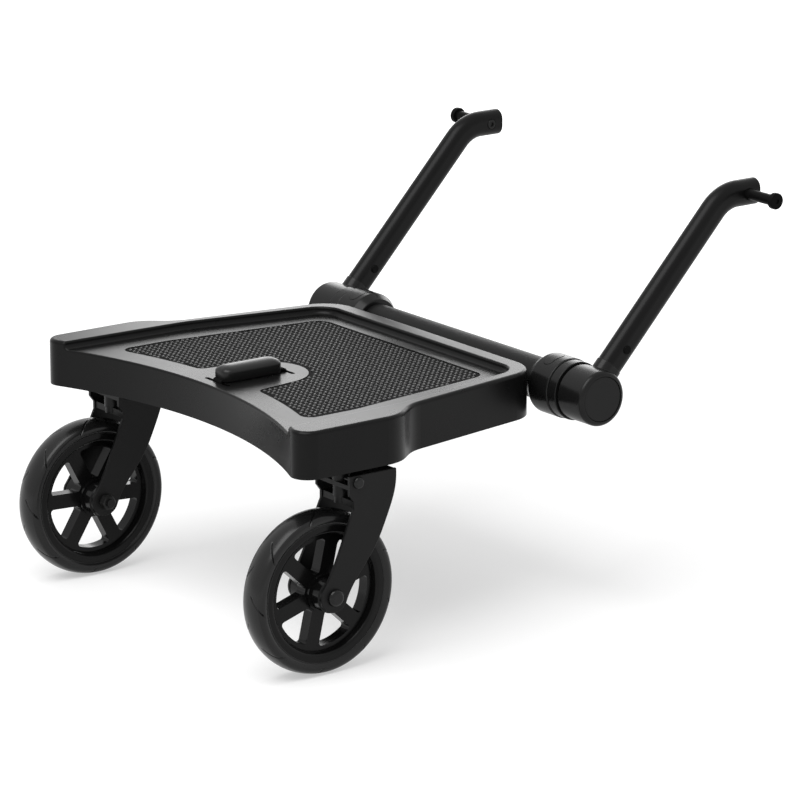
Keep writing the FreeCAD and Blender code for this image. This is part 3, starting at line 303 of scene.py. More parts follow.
class Effects:
    """The effects that the finishes share."""

    DRIFT_SPREAD = (-0.35, 1.35)
    MARKS_FINER = 9.0
    TOOTH_FINER = 5.0
    TOOTH_SHARE = 0.3
    PIT_SHARE = 0.4
    CROSSING_SHARE = 0.5
    RING_STRETCH = (1.0, 0.05, 0.05)

    def __init__(self) -> None:
        """Builds each group once."""
        self.drift = self.make_drift()
        self.relief = {
            Texture.GRAIN: self.make_grain(),
            Texture.COAT: self.make_coat(),
            Texture.RUBBER: self.make_rubber(),
            Texture.WEAVE: self.make_weave(),
            Texture.BRUSHED: self.make_brushed(),
        }

    def make_drift(self) -> EffectGroup:
        """Slow, faint changes of tone over a surface, and finer handling marks.

        Returns:
            The group that puts out a mask of the tone and one of the marks.
        """
        group = EffectGroup("surface_drift", [("Vector", "Vector"), ("Scale", "Float")], ["Mask", "Marks"])
        shader = group.shader
        place = group.given("Vector")
        slow = shader.add("TexNoise", Vector=place, Scale=group.given("Scale"), Detail=3.0)
        fine = shader.math("MULTIPLY", group.given("Scale"), self.MARKS_FINER)
        marks = shader.add("TexNoise", Vector=place, Scale=fine, Detail=6.0, Roughness=0.7)
        group.give("Mask", shader.span(slow.outputs["Fac"], *self.DRIFT_SPREAD))
        group.give("Marks", marks.outputs["Fac"])
        return group

    def make_grain(self) -> EffectGroup:
        """The etched grain of a plastic moulding: small rounded cells of uneven size.

        Returns:
            The group that puts out the height of the relief.
        """
        group = EffectGroup("moulded_grain", [("Vector", "Vector"), ("Scale", "Float")], ["Height"])
        shader = group.shader
        place, scale = group.given("Vector"), group.given("Scale")
        cells = shader.add("TexVoronoi", feature="SMOOTH_F1", Vector=place, Scale=scale, Smoothness=0.6)
        blur = shader.add("TexNoise", Vector=place, Scale=scale, Detail=2.0)
        group.give("Height", shader.math("MULTIPLY", cells.outputs["Distance"], blur.outputs["Fac"]))
        return group

    def make_coat(self) -> EffectGroup:
        """The orange peel of a baked powder coat with a little fine tooth.

        Returns:
            The group that puts out the height of the relief.
        """
        group = EffectGroup("powder_coat", [("Vector", "Vector"), ("Scale", "Float")], ["Height"])
        shader = group.shader
        peel = shader.add("TexNoise", Vector=group.given("Vector"), Scale=group.given("Scale"), Detail=1.0)
        finer = shader.math("MULTIPLY", group.given("Scale"), self.TOOTH_FINER)
        tooth = shader.add("TexNoise", Vector=group.given("Vector"), Scale=finer, Detail=2.0)
        faint = shader.math("MULTIPLY", tooth.outputs["Fac"], self.TOOTH_SHARE)
        group.give("Height", shader.math("ADD", peel.outputs["Fac"], faint))
        return group

    def make_rubber(self) -> EffectGroup:
        """The soft, faintly pitted skin of moulded rubber.

        Returns:
            The group that puts out the height of the relief.
        """
        group = EffectGroup("rubber_skin", [("Vector", "Vector"), ("Scale", "Float")], ["Height"])
        shader = group.shader
        skin = shader.add("TexNoise", Vector=group.given("Vector"), Scale=group.given("Scale"), Detail=5.0)
        pits = shader.add("TexVoronoi", Vector=group.given("Vector"), Scale=group.given("Scale"))
        shallow = shader.math("MULTIPLY", pits.outputs["Distance"], self.PIT_SHARE)
        group.give("Height", shader.math("ADD", skin.outputs["Fac"], shallow))
        return group

    def make_weave(self) -> EffectGroup:
        """A plain weave of flat yarns, one step per unit of the vector in each direction.

        Returns:
            The group that puts out the height of the relief.
        """
        group = EffectGroup("webbing_weave", [("Vector", "Vector"), ("Scale", "Float")], ["Height"])
        shader = group.shader
        scaled = shader.add("VectorMath", operation="SCALE", Scale=group.given("Scale"))
        shader.feed(group.given("Vector"), scaled.inputs[0])
        parts = shader.add("SeparateXYZ", Vector=scaled.outputs[0])
        across = shader.math("SINE", shader.math("MULTIPLY", parts.outputs["X"], math.pi))
        along = shader.math("SINE", shader.math("MULTIPLY", parts.outputs["Y"], math.pi))
        over = shader.math("MULTIPLY", across, along)
        crossing = shader.math("MULTIPLY", over, self.CROSSING_SHARE)
        yarn = shader.math("ABSOLUTE", across)
        group.give("Height", shader.math("ADD", crossing, yarn))
        return group

    def make_brushed(self) -> EffectGroup:
        """The fine rings that a lathe leaves on turned metal.

        Returns:
            The group that puts out the height of the relief.
        """
        group = EffectGroup("turned_metal", [("Vector", "Vector"), ("Scale", "Float")], ["Height"])
        shader = group.shader
        streaks = shader.add("Mapping", Vector=group.given("Vector"))
        streaks.inputs["Scale"].default_value = self.RING_STRETCH
        lines = shader.add("TexNoise", Vector=streaks.outputs[0], Scale=group.given("Scale"), Detail=3.0)
        group.give("Height", lines.outputs["Fac"])
        return group


# Colour sockets of the Mix node, which share their names with its other sockets
MIX_FIRST = 6
MIX_SECOND = 7
MIX_RESULT = 2
MARKS_SHARE = 0.5


@dataclass(frozen=True)
class Finish:
    """One finish of the object: its slot in the record, tones, gloss and relief."""

    slot: str
    colour: Colour
    lift: Colour
    roughness: tuple[float, float]
    texture: Texture
    relief_scale: float
    relief_depth: float
    relief_strength: float = 0.5
    drift_scale: float = 14.0
    specular: float = 0.16
    metallic: float = 0.0
    by_uv: bool = False

    def make(self, effects: Effects) -> bpy.types.Material:
        """Builds the material.

        Args:
            effects: The shared shader groups.

        Returns:
            The new material.
        """
        material = bpy.data.materials.new(self.slot)
        material.use_nodes = True
        shader = Shader(material.node_tree)
        surface = material.node_tree.nodes["Principled BSDF"]
        place = shader.add("TexCoord")
        vector = place.outputs["UV" if self.by_uv else "Object"]
        drift = effects.drift.place(shader, Vector=place.outputs["Object"], Scale=self.drift_scale)
        tone = shader.add("Mix", data_type="RGBA")
        shader.feed(drift.outputs["Mask"], tone.inputs["Factor"])
        tone.inputs[MIX_FIRST].default_value = (*self.colour, 1.0)
        tone.inputs[MIX_SECOND].default_value = (*self.lift, 1.0)
        shader.feed(tone.outputs[MIX_RESULT], surface.inputs["Base Color"])
        marks = shader.math("MULTIPLY", drift.outputs["Marks"], MARKS_SHARE)
        slow = shader.math("MULTIPLY", drift.outputs["Mask"], 1.0 - MARKS_SHARE)
        both = shader.math("ADD", marks, slow)
        shader.feed(shader.span(both, *self.roughness), surface.inputs["Roughness"])
        relief = effects.relief[self.texture].place(shader, Vector=vector, Scale=self.relief_scale)
        bump = shader.add("Bump", Strength=self.relief_strength, Distance=self.relief_depth)
        shader.feed(relief.outputs["Height"], bump.inputs["Height"])
        shader.feed(bump.outputs["Normal"], surface.inputs["Normal"])
        surface.inputs["Specular IOR Level"].default_value = self.specular
        surface.inputs["Metallic"].default_value = self.metallic
        return material


def grey(value: float) -> Colour:
    """A neutral tone."""
    return (value, value, value)


FINISHES = {finish.slot: finish for finish in (
    Finish("board_plastic", grey(0.003), grey(0.005), (0.24, 0.32), Texture.GRAIN,
           3600.0, 0.00004, 0.07, specular=0.12),
    Finish("mat_rubber", grey(0.010), grey(0.015), (0.20, 0.28), Texture.RUBBER,
           1500.0, 0.00005, 0.10, specular=0.50),
    # The mat's ground is darker than its dots: painted shade that falls between the dots.
    Finish("mat_ground", grey(0.003), grey(0.005), (0.65, 0.80), Texture.RUBBER,
           1500.0, 0.00006, 0.30, specular=0.03),
    Finish("grip_rubber", grey(0.006), grey(0.009), (0.24, 0.32), Texture.RUBBER,
           1800.0, 0.00005, 0.20, specular=0.24),
    Finish("strap_fabric", grey(0.004), grey(0.008), (0.80, 0.95), Texture.WEAVE,
           1.0, 0.0004, 0.8, specular=0.04, by_uv=True),
    Finish("coated_tube", grey(0.0025), grey(0.004), (0.30, 0.38), Texture.COAT,
           700.0, 0.00006, 0.30, specular=0.13),
    Finish("cross_coat", grey(0.004), grey(0.006), (0.46, 0.56), Texture.COAT,
           700.0, 0.00006, 0.30, specular=0.13),
    Finish("coated_steel", grey(0.004), grey(0.006), (0.40, 0.50), Texture.COAT,
           750.0, 0.00006, 0.30),
    Finish("hinge_plastic", grey(0.006), grey(0.009), (0.22, 0.30), Texture.GRAIN,
           2800.0, 0.00005, 0.08, specular=0.17),
    Finish("cap_plastic", grey(0.008), grey(0.011), (0.42, 0.52), Texture.GRAIN,
           2600.0, 0.00006, 0.30),
    Finish("rim_plastic", grey(0.004), grey(0.006), (0.16, 0.24), Texture.GRAIN,
           2600.0, 0.00005, 0.06, specular=0.13),
    Finish("tyre_rubber", grey(0.007), grey(0.010), (0.20, 0.28), Texture.RUBBER,
           1400.0, 0.00005, 0.10, specular=0.26),
    Finish("black_hardware", grey(0.010), grey(0.016), (0.28, 0.40), Texture.BRUSHED,
           1500.0, 0.00002, 0.20),
    Finish("gloss_hardware", grey(0.005), grey(0.008), (0.12, 0.20), Texture.BRUSHED,
           1500.0, 0.00002, 0.10, specular=0.22),
    Finish("stud_black", grey(0.004), grey(0.006), (0.24, 0.34), Texture.COAT,
           900.0, 0.00003, 0.20, specular=0.03),
    Finish("bare_steel", grey(0.42), grey(0.50), (0.28, 0.40), Texture.BRUSHED,
           1800.0, 0.00002, 0.25, metallic=1.0, specular=0.5),
    Finish("bush_plastic", grey(0.03), grey(0.04), (0.40, 0.50), Texture.GRAIN,
           2600.0, 0.00004, 0.20),
)}


class Wardrobe:
    """Makes the materials and hands them out by slot."""

    def __init__(self) -> None:
        """Builds the shared effects and every finish."""
        self.effects = Effects()
        self.materials = {slot: finish.make(self.effects) for slot, finish in FINISHES.items()}

    def dress_node(self, node: str, slot: str) -> None:
        """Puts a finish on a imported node."""
        wear(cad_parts[node], self.materials[slot])

    def dress_piece(self, obj: bpy.types.Object, slot: str, body: str) -> None:
        """Puts a finish on a new piece and lets it ride on a body.

        Args:
            obj: The piece.
            slot: The finish.
            body: The body that carries it.
        """
        wear(obj, self.materials[slot])
        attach(obj, body)


# Tyres

# The share of the outer line that stands for a point beyond every cut
UNCUT = 9.0


@dataclass
class Tyre:
    """A solid rubber tyre with curved cuts across its shoulders. Sizes in millimetres."""

    side: Side
    crown_radius: float = 75.0
    shoulder_radius: float = 72.6
    shoulder_half: float = 11.6
    belly_radius: float = 67.5
    belly_half: float = 14.2
    foot_radius: float = 63.7
    foot_half: float = 12.5
    bead_radius: float = 0.55
    bed_radius: float = 58.0
    bed_half: float = 10.4
    crown_steps: int = 14
    wall_steps: int = 14
    bead_steps: int = 5
    turns: int = 720
    cuts: int = 9
    cut_sweep: float = -19.0
    cut_depth: float = 2.7
    cut_half: int = 1
    cut_start: float = 0.10
    cut_end: float = 0.68
    cut_ramp: float = 3.2
    bead_from: float = 60.0
    bead_turn: float = 150.0
    smooth: float = 40.0

    def outer_line(self) -> list[tuple[float, float]]:
        """Draws the outer half section from the middle of the tread to the foot.

        Returns:
            The points as (x, radius).
        """
        line = []
        rise = self.crown_radius - self.shoulder_radius
        arc = (self.shoulder_half ** 2 + rise ** 2) / (2 * rise)
        for i in range(self.crown_steps + 1):
            x = self.shoulder_half * i / self.crown_steps
            line.append((x, self.crown_radius - arc + math.sqrt(arc * arc - x * x)))
        a, b, c = ((self.shoulder_half, self.shoulder_radius), (self.belly_half, self.belly_radius),
                   (self.foot_half, self.foot_radius))
        centre = self.circle_centre(a, b, c)
        radius = math.dist(centre, a)
        start = math.atan2(a[1] - centre[1], a[0] - centre[0])
        end = math.atan2(c[1] - centre[1], c[0] - centre[0])
        for i in range(1, self.wall_steps + 1):
            t = start + (end - start) * i / self.wall_steps
            line.append((centre[0] + radius * math.cos(t), centre[1] + radius * math.sin(t)))
        lead = math.radians(self.bead_from)
        for i in range(1, self.bead_steps + 1):
            t = lead - math.radians(self.bead_turn) * i / self.bead_steps
            line.append((self.foot_half + self.bead_radius * (math.cos(t) - math.cos(lead)),
                         self.foot_radius + self.bead_radius * (math.sin(t) - math.sin(lead))))
        return line

    @staticmethod
    def circle_centre(a: Sequence[float], b: Sequence[float], c: Sequence[float]) -> tuple[float, float]:
        """The centre of the circle through three points.

        Args:
            a: The first point.
            b: The second point.
            c: The third point.

        Returns:
            The centre.
        """
        d = 2 * (a[0] * (b[1] - c[1]) + b[0] * (c[1] - a[1]) + c[0] * (a[1] - b[1]))
        sa, sb, sc = (p[0] ** 2 + p[1] ** 2 for p in (a, b, c))
        x = (sa * (b[1] - c[1]) + sb * (c[1] - a[1]) + sc * (a[1] - b[1])) / d
        y = (sa * (c[0] - b[0]) + sb * (a[0] - c[0]) + sc * (b[0] - a[0])) / d
        return x, y

    def sweep_at(self, share: float) -> float:
        """How far round the wheel a cut has run at a share of the outer line, in radians."""
        return math.radians(self.cut_sweep) * math.sin(share * math.pi / 2)

    def section(self) -> list[tuple[float, float, float, float]]:
        """Closes the section over both sides of the tread and the bed.

        Returns:
            The points as (x, radius, turn, share of the outer line, signed by the side of the tread).
        """
        outer = self.outer_line()
        last = len(outer) - 1
        right = [(x, r, self.sweep_at(i / last), i / last) for i, (x, r) in enumerate(outer)]
        left = [(-x, r, turn, -share) for x, r, turn, share in right[1:]]
        full = self.sweep_at(1.0)
        foot_radius = outer[-1][1]
        bed = [(self.bed_half, foot_radius), (self.bed_half, self.bed_radius),
               (-self.bed_half, self.bed_radius), (-self.bed_half, foot_radius)]
        foot = [(x, r, full, UNCUT) for x, r in bed]
        return right + foot + left[::-1]

    def build(self) -> bpy.types.Object:
        """Spins the section round the axle and presses the cuts into it.

        Returns:
            The finished tyre.
        """
        low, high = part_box(self.side.value + "_tyre")
        centre = (low + high) / 2
        section = self.section()
        bpy.ops.object.select_all(action="DESELECT")
        bpy.ops.mesh.primitive_circle_add(vertices=len(section), radius=self.belly_half * MM)
        obj = bpy.context.active_object
        mesh = edit(obj)
        mesh.verts.ensure_lookup_table()
        for vert, (x, r, turn, _) in zip(mesh.verts, section):
            vert.co = centre + Vector((x, r * math.sin(turn), r * math.cos(turn))) * MM
        bmesh.update_edit_mesh(obj.data)
        bpy.ops.mesh.select_all(action="SELECT")
        bpy.ops.mesh.spin(steps=self.turns, angle=2 * math.pi, center=centre, axis=(1, 0, 0),
                          use_auto_merge=True)
        close(obj)
        settle(obj, self.side.value + "_tyre_tread", self.smooth)
        self.press_cuts(obj, centre, section)
        return obj

    def press_cuts(self, obj: bpy.types.Object, centre: Vector,
                   section: Sequence[tuple[float, float, float, float]]) -> None:
        """Presses a tapered groove along each cut.

        Args:
            obj: The spun tyre.
            centre: The middle of the wheel.
            section: The section that was spun.
        """
        known = {(round(x, 2), round(r, 2)): (turn, share) for x, r, turn, share in section}
        group = obj.vertex_groups.new(name="cuts")
        step = 2 * math.pi / self.turns
        pitch = self.turns // self.cuts
        for vert in obj.data.vertices:
            away = (vert.co - centre) / MM
            radius = math.hypot(away.y, away.z)
            turn, share = known.get((round(away.x, 2), round(radius, 2)), (0.0, UNCUT))
            along = (abs(share) - self.cut_start) / (self.cut_end - self.cut_start)
            if not 0.0 < along < 1.0:
                continue
            line = round((math.atan2(away.y, away.z) - turn) / step) % self.turns
            shift = 0 if share > 0 else pitch // 2
            off = (line + shift + self.cut_half) % pitch
            if off <= 2 * self.cut_half:
                depth = min(1.0, self.cut_ramp * math.sin(along * math.pi))
                group.add([vert.index], depth, "REPLACE")
        modify(obj, "DISPLACE", vertex_group="cuts", direction="NORMAL", mid_level=0.0,
               strength=-self.cut_depth * MM)
        obj.vertex_groups.clear()

    def dress(self, obj: bpy.types.Object, wardrobe: Wardrobe) -> None:
        """Gives the tyre its rubber and lets it ride on its wheel."""
        wardrobe.dress_piece(obj, "tyre_rubber", self.side.value + "_wheel")
        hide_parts(self.side.value + "_tyre")


# Mat


@dataclass
class MatDots:
    """The rows of small raised dots on the standing mat. Sizes in millimetres."""

    pitch_x: float = 6.22
    pitch_y: float = 5.82
    radius: float = 1.7
    top_radius: float = 1.25
    height: float = 1.1
    dome: float = 0.7
    sides: int = 10
    border: float = 0.6
    border_points: int = 8
    sink: float = 0.1
    spare_rows: int = 3
    dome_steps: int = 2
    look_from: float = 5.0
    look_slack: float = 0.5
    smooth: float = 75.0

    def build(self) -> bpy.types.Object:
        """Models one dot, sets it out in rows and takes away those that pass the mat's edge.

        Returns:
            All the dots as one piece.
        """
        low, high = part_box("grip_mat")
        columns = int((high.x - low.x) / MM / self.pitch_x) + self.spare_rows
        rows = int((high.y - low.y) / MM / self.pitch_y) + self.spare_rows
        first_x = -self.pitch_x * (columns - 1) / 2
        bpy.ops.object.select_all(action="DESELECT")
        bpy.ops.mesh.primitive_cylinder_add(
            vertices=self.sides, radius=self.radius * MM, depth=self.height * MM,
            location=(first_x * MM, low.y, high.z + (self.height / 2 - self.sink) * MM))
        obj = bpy.context.active_object
        edit(obj)
        pick_faces(obj, lambda face: face.normal.z > SQUARE_ON)
        share = self.top_radius / self.radius
        bpy.ops.transform.resize(value=(share, share, 1.0))
        bpy.ops.mesh.bevel(offset=self.dome * MM, segments=self.dome_steps, affect="EDGES")
        pick_faces(obj, lambda face: face.normal.z < -SQUARE_ON)
        bpy.ops.mesh.delete(type="FACE")
        close(obj)
        only(obj)
        bpy.ops.object.transform_apply(location=True, rotation=True, scale=True)
        modify(obj, "ARRAY", count=columns, use_relative_offset=False, use_constant_offset=True,
               constant_offset_displace=(self.pitch_x * MM, 0.0, 0.0))
        modify(obj, "ARRAY", count=rows, use_relative_offset=False, use_constant_offset=True,
               constant_offset_displace=(0.0, self.pitch_y * MM, 0.0))
        self.trim(obj, Vector((first_x * MM, low.y)), high.z)
        return settle(obj, "mat_dots", self.smooth)

    def trim(self, obj: bpy.types.Object, first: Vector, top: float) -> None:
        """Deletes the dots that don't stand wholly on the mat.

        Args:
            obj: All the dots.
            first: The middle of the first dot.
            top: The height of the mat's top.
        """
        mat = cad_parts["grip_mat"]
        mesh = edit(obj)
        kept: dict[tuple[int, int], bool] = {}
        for vert in mesh.verts:
            column = round((vert.co.x - first.x) / (self.pitch_x * MM))
            row = round((vert.co.y - first.y) / (self.pitch_y * MM))
            spot = (column, row)
            if spot not in kept:
                middle = first + Vector((column * self.pitch_x, row * self.pitch_y)) * MM
                kept[spot] = self.stands(mat, middle, top)
            vert.select_set(not kept[spot])
        bmesh.update_edit_mesh(obj.data)
        bpy.ops.mesh.delete(type="VERT")
        close(obj)

    def stands(self, mat: bpy.types.Object, middle: Vector, top: float) -> bool:
        """Whether a dot at a place has mat under the whole of its border.

        Args:
            mat: The mat's node.
            middle: The dot's middle.
            top: The height of the mat's top.

        Returns:
            True where every point of the border has mat under it.
        """
        reach = (self.radius + self.border) * MM
        for i in range(self.border_points):
            a = 2 * math.pi * i / self.border_points
            start = Vector((middle.x + reach * math.cos(a), middle.y + reach * math.sin(a), top))
            start.z += self.look_from * MM
            hit, place, _, _ = mat.ray_cast(start, (0.0, 0.0, -1.0))
            if not hit or place.z < top - self.look_slack * MM:
                return False
        return True

    def dress(self, obj: bpy.types.Object, wardrobe: Wardrobe) -> None:
        """Gives the dots the mat's rubber."""
        wardrobe.dress_piece(obj, "mat_rubber", "board")


# Lifting handle


@dataclass
class LiftHandle:
    """The soft grip and the webbing that holds it to the board. Sizes in millimetres."""

    end_round: float = 8.5
    edge_height: float = 8.6
    end_reach: float = 6.5
    edge_bevel: float = 0.9
    end_steps: int = 8
    edge_steps: int = 3
    foot_steps: int = 2
    crown_steps: int = 7
    crown_share: float = 0.985
    strap_half: float = 6.4
    strap_thickness: float = 1.8
    strap_bend: float = 2.2
    bend_steps: int = 5
    selvedge: float = 0.3
    selvedge_steps: int = 2
    selvedge_angle: float = 60.0
    yarns: float = 12.0
    smooth: float = 50.0

    def build_grip(self) -> bpy.types.Object:
        """Models a loaf with upright sides, rounded ends and a crowned top over a soft edge.

        Returns:
            The grip.
        """
        low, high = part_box("handle_grip")
        low = low - Vector((0.0, self.end_reach * MM, 0.0))
        centre = (low + high) / 2
        size = high - low
        bpy.ops.object.select_all(action="DESELECT")
        edge_z = low.z + self.edge_height * MM
        bpy.ops.mesh.primitive_cube_add(size=1.0, location=(centre.x, centre.y, (low.z + edge_z) / 2))
        obj = bpy.context.active_object
        obj.scale = (size.x, size.y, self.edge_height * MM)
        only(obj)
        bpy.ops.object.transform_apply(location=True, rotation=True, scale=True)
        edit(obj)
        pick_edges(obj, lambda edge: abs((edge.verts[0].co - edge.verts[1].co).normalized().z) > SQUARE_ON)
        bpy.ops.mesh.bevel(offset=self.end_round * MM, segments=self.end_steps, affect="EDGES")
        self.raise_crown(obj, centre, size)
        for level, steps in ((edge_z, self.edge_steps), (low.z, self.foot_steps)):
            pick_edges(obj, lambda edge: all(abs(v.co.z - level) < SAME_LEVEL for v in edge.verts))
            bpy.ops.mesh.bevel(offset=self.edge_bevel * MM, segments=steps, affect="EDGES")
        close(obj)
        return settle(obj, "handle_pull", self.smooth)

    def raise_crown(self, obj: bpy.types.Object, centre: Vector, size: Vector) -> None:
        """Raises the flat top into a crown, ring by ring.

        Args:
            obj: The grip, in edit mode.
            centre: The middle of the whole grip.
            size: The size of the whole grip.
        """
        crown = size.z - self.edge_height * MM
        half_x, half_y = size.x / 2, size.y / 2
        inset_full = half_x * self.crown_share
        inset, height = 0.0, 0.0
        pick_faces(obj, lambda face: face.normal.z > SQUARE_ON)
        for i in range(1, self.crown_steps + 1):
            t = i / self.crown_steps * math.pi / 2
            done, inset = inset, inset_full * (1 - math.cos(t))
            last, height = height, math.sin(t)
            rise = crown * (height - last)
            bpy.ops.mesh.extrude_region_move(TRANSFORM_OT_translate={"value": (0.0, 0.0, rise)})
            scale = ((half_x - inset) / (half_x - done), (half_y - inset) / (half_y - done), 1.0)
            bpy.ops.transform.resize(value=scale, center_override=(centre.x, centre.y, 0.0))

    def strap_line(self) -> list[tuple[float, float]]:
        """Draws the middle line of the webbing: up through a slot, under the grip and down again.

        Returns:
            The points as (y, z).
        """
        low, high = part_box("handle_strap")
        half = self.strap_thickness * MM / 2
        run_z = high.z - half
        back, front = low.y + half, high.y - half
        bend = self.strap_bend * MM
        line = [(back, low.z), (back, run_z - bend)]
        for i in range(1, self.bend_steps + 1):
            t = i / self.bend_steps * math.pi / 2
            line.append((back + bend * (1 - math.cos(t)), run_z - bend * (1 - math.sin(t))))
        return line + [(back + front - y, z) for y, z in reversed(line)]

    def build_strap(self) -> bpy.types.Object:
        """Pulls one length of webbing along its line and gives it its thickness.

        Returns:
            The webbing.
        """
        line = self.strap_line()
        bpy.ops.object.select_all(action="DESELECT")
        bpy.ops.mesh.primitive_plane_add(size=2 * self.strap_half * MM)
        obj = bpy.context.active_object
        mesh = edit(obj)
        mesh.verts.ensure_lookup_table()
        for vert in mesh.verts:
            end = line[0] if vert.co.y < 0 else line[1]
            vert.co = Vector((vert.co.x, end[0], end[1]))
        bmesh.update_edit_mesh(obj.data)
        for (y0, z0), (y1, z1) in zip(line[1:-1], line[2:]):
            pick_edges(obj, lambda edge: all(math.dist(v.co.yz, (y0, z0)) < MERGE_GAP for v in edge.verts))
            bpy.ops.mesh.extrude_region_move(TRANSFORM_OT_translate={"value": (0.0, y1 - y0, z1 - z0)})
        close(obj)
        self.lay_weave(obj, line)
        modify(obj, "SOLIDIFY", thickness=self.strap_thickness * MM, offset=0.0)
        modify(obj, "BEVEL", width=self.selvedge * MM, segments=self.selvedge_steps, limit_method="ANGLE",
               angle_limit=math.radians(self.selvedge_angle))
        obj = settle(obj, "handle_webbing", self.smooth)
        return obj

    def lay_weave(self, obj: bpy.types.Object, line: Sequence[tuple[float, float]]) -> None:
        """Lays the UV map so that the weave follows the webbing.

        Args:
            obj: The flat webbing.
            line: The points of its middle line, as (y, z).
        """
        reach = [0.0]
        for a, b in zip(line[:-1], line[1:]):
            reach.append(reach[-1] + math.dist(a, b))
        width = 2 * self.strap_half * MM
        layer = obj.data.uv_layers.active or obj.data.uv_layers.new(name="weave")
        for loop in obj.data.loops:
            place = obj.data.vertices[loop.vertex_index].co
            nearest = min(range(len(line)), key=lambda i: math.dist(line[i], (place.y, place.z)))
            across = (place.x / width + 0.5) * self.yarns
            layer.data[loop.index].uv = (across, reach[nearest] / width * self.yarns)

    def dress(self, grip: bpy.types.Object, strap: bpy.types.Object, wardrobe: Wardrobe) -> None:
        """Gives the grip its soft rubber and the webbing its weave.

        Args:
            grip: The grip.
            strap: The webbing.
            wardrobe: The finishes.
        """
        wardrobe.dress_piece(grip, "grip_rubber", "lift_handle")
        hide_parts("handle_grip")
        wardrobe.dress_piece(strap, "strap_fabric", "lift_handle")
        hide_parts("handle_strap")


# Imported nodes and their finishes

SINGLE_NODES = {
    "board": "board_plastic",
    # The mat's ground takes a darker finish than its dots: painted shade between the dots.
    "grip_mat": "mat_ground",
    "strap_stops": "cap_plastic",
    "cross_tube": "cross_coat",
    "cross_bolts": "black_hardware",
    "cross_washers": "black_hardware",
    "tube_nuts": "bare_steel",
}
PAIRED_NODES = {
    "saddle": "hinge_plastic",
    "kingpin_bush": "bush_plastic",
    "kingpin": "black_hardware",
    "kingpin_clip": "bare_steel",
    "cross_rivet": "gloss_hardware",
    "fork": "coated_steel",
    "axle": "gloss_hardware",
    "axle_nut": "black_hardware",
    "axle_washers": "black_hardware",
    "rim": "rim_plastic",
    "wheel_bearings": "bare_steel",
    "sleeve": "hinge_plastic",
    "sleeve_button": "hinge_plastic",
    "lock_ring": "hinge_plastic",
    "guide_tube": "bare_steel",
    "hinge_pin": "bare_steel",
    "hinge_drum": "hinge_plastic",
    "end_cap": "cap_plastic",
    "arm": "coated_tube",
    "arm_rivet": "stud_black",
    "stud": "stud_black",
    "tip_screw": "black_hardware",
}


def dress_nodes(wardrobe: Wardrobe) -> None:
    """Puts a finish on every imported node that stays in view.

    Args:
        wardrobe: The finishes.
    """
    for node, slot in SINGLE_NODES.items():
        wardrobe.dress_node(node, slot)
    for side in Side:
        for node, slot in PAIRED_NODES.items():
            wardrobe.dress_node(f"{side.value}_{node}", slot)


# Stage


@dataclass(frozen=True)
class Panel:
    """One soft light panel that faces the object. Lengths in metres, power in watts."""

    name: str
    place: tuple[float, float, float]
    size: tuple[float, float]
    power: float
    aim: tuple[float, float, float] = (0.0, 0.0, 0.25)

    def hang(self) -> None:
        """Adds the panel to the scene, out of the camera's sight."""
        data = bpy.data.lights.new(self.name, "AREA")
        data.shape = "RECTANGLE"
        data.size, data.size_y = self.size
        data.energy = self.power
        lamp = bpy.data.objects.new(self.name, data)
        bpy.context.scene.collection.objects.link(lamp)
        lamp.visible_camera = False
        lamp.location = self.place
        lamp.rotation_mode = "QUATERNION"
        lamp.rotation_quaternion = (Vector(self.aim) - Vector(self.place)).to_track_quat("-Z", "Y")


# A broad key panel above the rear, and a low one behind that shines off the level faces
PANELS = (
    Panel("key_panel", (0.38, -1.22, 2.4), (2.0, 2.0), 55.0),
    Panel("back_panel", (-1.50, 1.68, 0.83), (1.8, 1.0), 14.0),
)


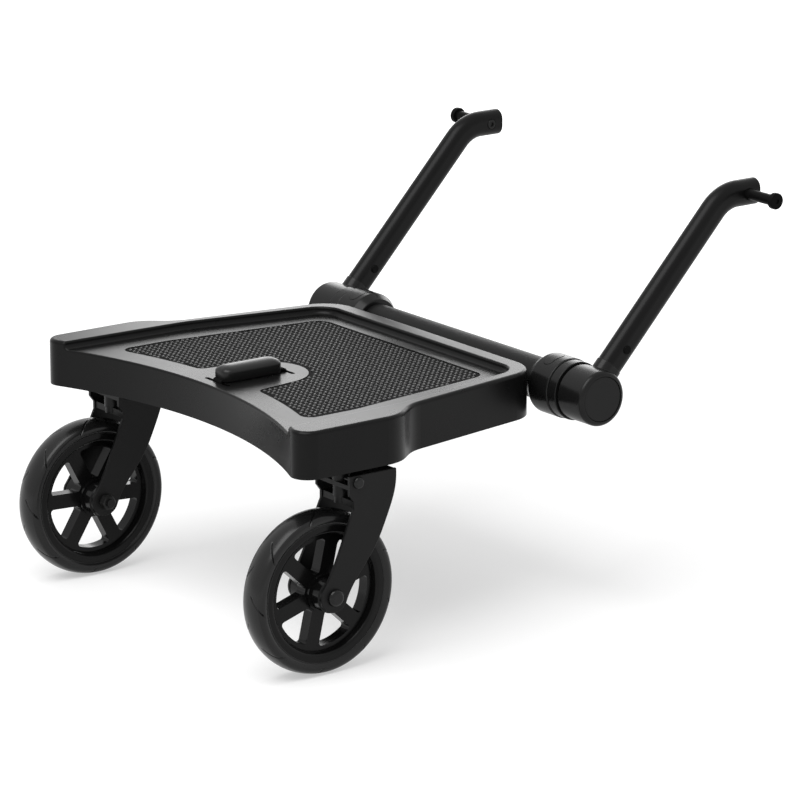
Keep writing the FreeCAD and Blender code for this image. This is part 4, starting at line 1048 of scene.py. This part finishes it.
@dataclass
class Studio:
    """The white floor, the soft light and the camera. Lengths in metres, angles in degrees."""

    floor_size: float = 60.0
    floor_tone: float = 0.60
    floor_lift: tuple[float, float] = (0.44, 0.80)
    lift_reach: tuple[float, float] = (0.45, 1.40)
    sky: float = 0.55
    sky_seen: float = 1.0
    azimuth: float = 53.3
    elevation: float = 15.4
    distance: float = 4.2086
    target: tuple[float, float, float] = (0.0394, -0.01075, 0.1851)
    lens: float = 204.35
    sensor: float = 36.0
    sight: float = 200.0

    def back(self) -> Vector:
        """The direction from the object to the camera."""
        a, e = math.radians(self.azimuth), math.radians(self.elevation)
        return Vector((math.sin(a) * math.cos(e), -math.cos(a) * math.cos(e), math.sin(e)))

    def build(self) -> None:
        """Sets the colour handling and builds the stage."""
        bpy.context.scene.view_settings.view_transform = "Standard"
        self.build_floor()
        self.build_world()
        for panel in PANELS:
            panel.hang()
        self.build_camera()

    @staticmethod
    def seen(shader: Shader) -> bpy.types.NodeSocket:
        """Tells the rays that see a surface directly, in gloss or through glass, from the rest.

        Args:
            shader: The tree that asks.

        Returns:
            A socket that is 1 for those rays and 0 for the rest.
        """
        path = shader.add("LightPath")
        direct = shader.math("MAXIMUM", path.outputs["Is Camera Ray"], path.outputs["Is Glossy Ray"])
        return shader.math("MAXIMUM", direct, path.outputs["Is Transmission Ray"])

    def build_floor(self) -> None:
        """A wide white floor that keeps the shadow and turns into plain white farther out."""
        bpy.ops.object.select_all(action="DESELECT")
        bpy.ops.mesh.primitive_plane_add(size=self.floor_size)
        floor = bpy.context.active_object
        floor.name = "floor"
        material = bpy.data.materials.new("white_floor")
        material.use_nodes = True
        shader = Shader(material.node_tree)
        material.node_tree.nodes.remove(material.node_tree.nodes["Principled BSDF"])
        paint = shader.add("BsdfDiffuse", Color=(self.floor_tone, self.floor_tone, self.floor_tone, 1.0))
        lift = shader.add("Emission", Color=WHITE)
        away = shader.add("VectorMath", operation="LENGTH")
        shader.feed(shader.add("TexCoord").outputs["Object"], away.inputs[0])
        glow = shader.add("MapRange", Value=away.outputs["Value"])
        labels = ("From Min", "From Max", "To Min", "To Max")
        for label, value in zip(labels, self.lift_reach + self.floor_lift):
            glow.inputs[label].default_value = value
        strength = shader.math("MULTIPLY", self.seen(shader), glow.outputs["Result"])
        shader.feed(strength, lift.inputs["Strength"])
        both = shader.add("AddShader")
        shader.feed(paint.outputs[0], both.inputs[0])
        shader.feed(lift.outputs[0], both.inputs[1])
        shader.feed(both.outputs[0], material.node_tree.nodes["Material Output"].inputs["Surface"])
        wear(floor, material)

    def build_world(self) -> None:
        """A plain white surround, softer as light than as background."""
        world = bpy.data.worlds.new("white_surround")
        world.use_nodes = True
        bpy.context.scene.world = world
        shader = Shader(world.node_tree)
        surround = world.node_tree.nodes["Background"]
        surround.inputs["Color"].default_value = WHITE
        strength = shader.span(self.seen(shader), self.sky, self.sky_seen)
        shader.feed(strength, surround.inputs["Strength"])

    def build_camera(self) -> None:
        """The camera at the viewing angle of the picture."""
        data = bpy.data.cameras.new("camera")
        data.lens = self.lens
        data.sensor_width = self.sensor
        camera = bpy.data.objects.new("camera", data)
        bpy.context.scene.collection.objects.link(camera)
        camera.location = Vector(self.target) + self.back() * self.distance
        camera.rotation_mode = "QUATERNION"
        camera.rotation_quaternion = (-self.back()).to_track_quat("-Z", "Y")
        data.clip_end = self.sight
        bpy.context.scene.camera = camera


def report(piece: bpy.types.Object) -> None:
    """Logs a finished piece and how many faces it has."""
    LOG.info("%s: %d faces", piece.name, len(piece.data.polygons))


def main() -> None:
    """Builds the stage and every piece."""
    logging.basicConfig(level=logging.INFO, format="%(message)s")
    Studio().build()
    wardrobe = Wardrobe()
    dress_nodes(wardrobe)
    for side in Side:
        tyre = Tyre(side)
        piece = tyre.build()
        tyre.dress(piece, wardrobe)
        report(piece)
    dots = MatDots()
    piece = dots.build()
    dots.dress(piece, wardrobe)
    report(piece)
    handle = LiftHandle()
    grip, strap = handle.build_grip(), handle.build_strap()
    handle.dress(grip, strap, wardrobe)
    report(grip)
    report(strap)


if __name__ == "__main__":
    main()
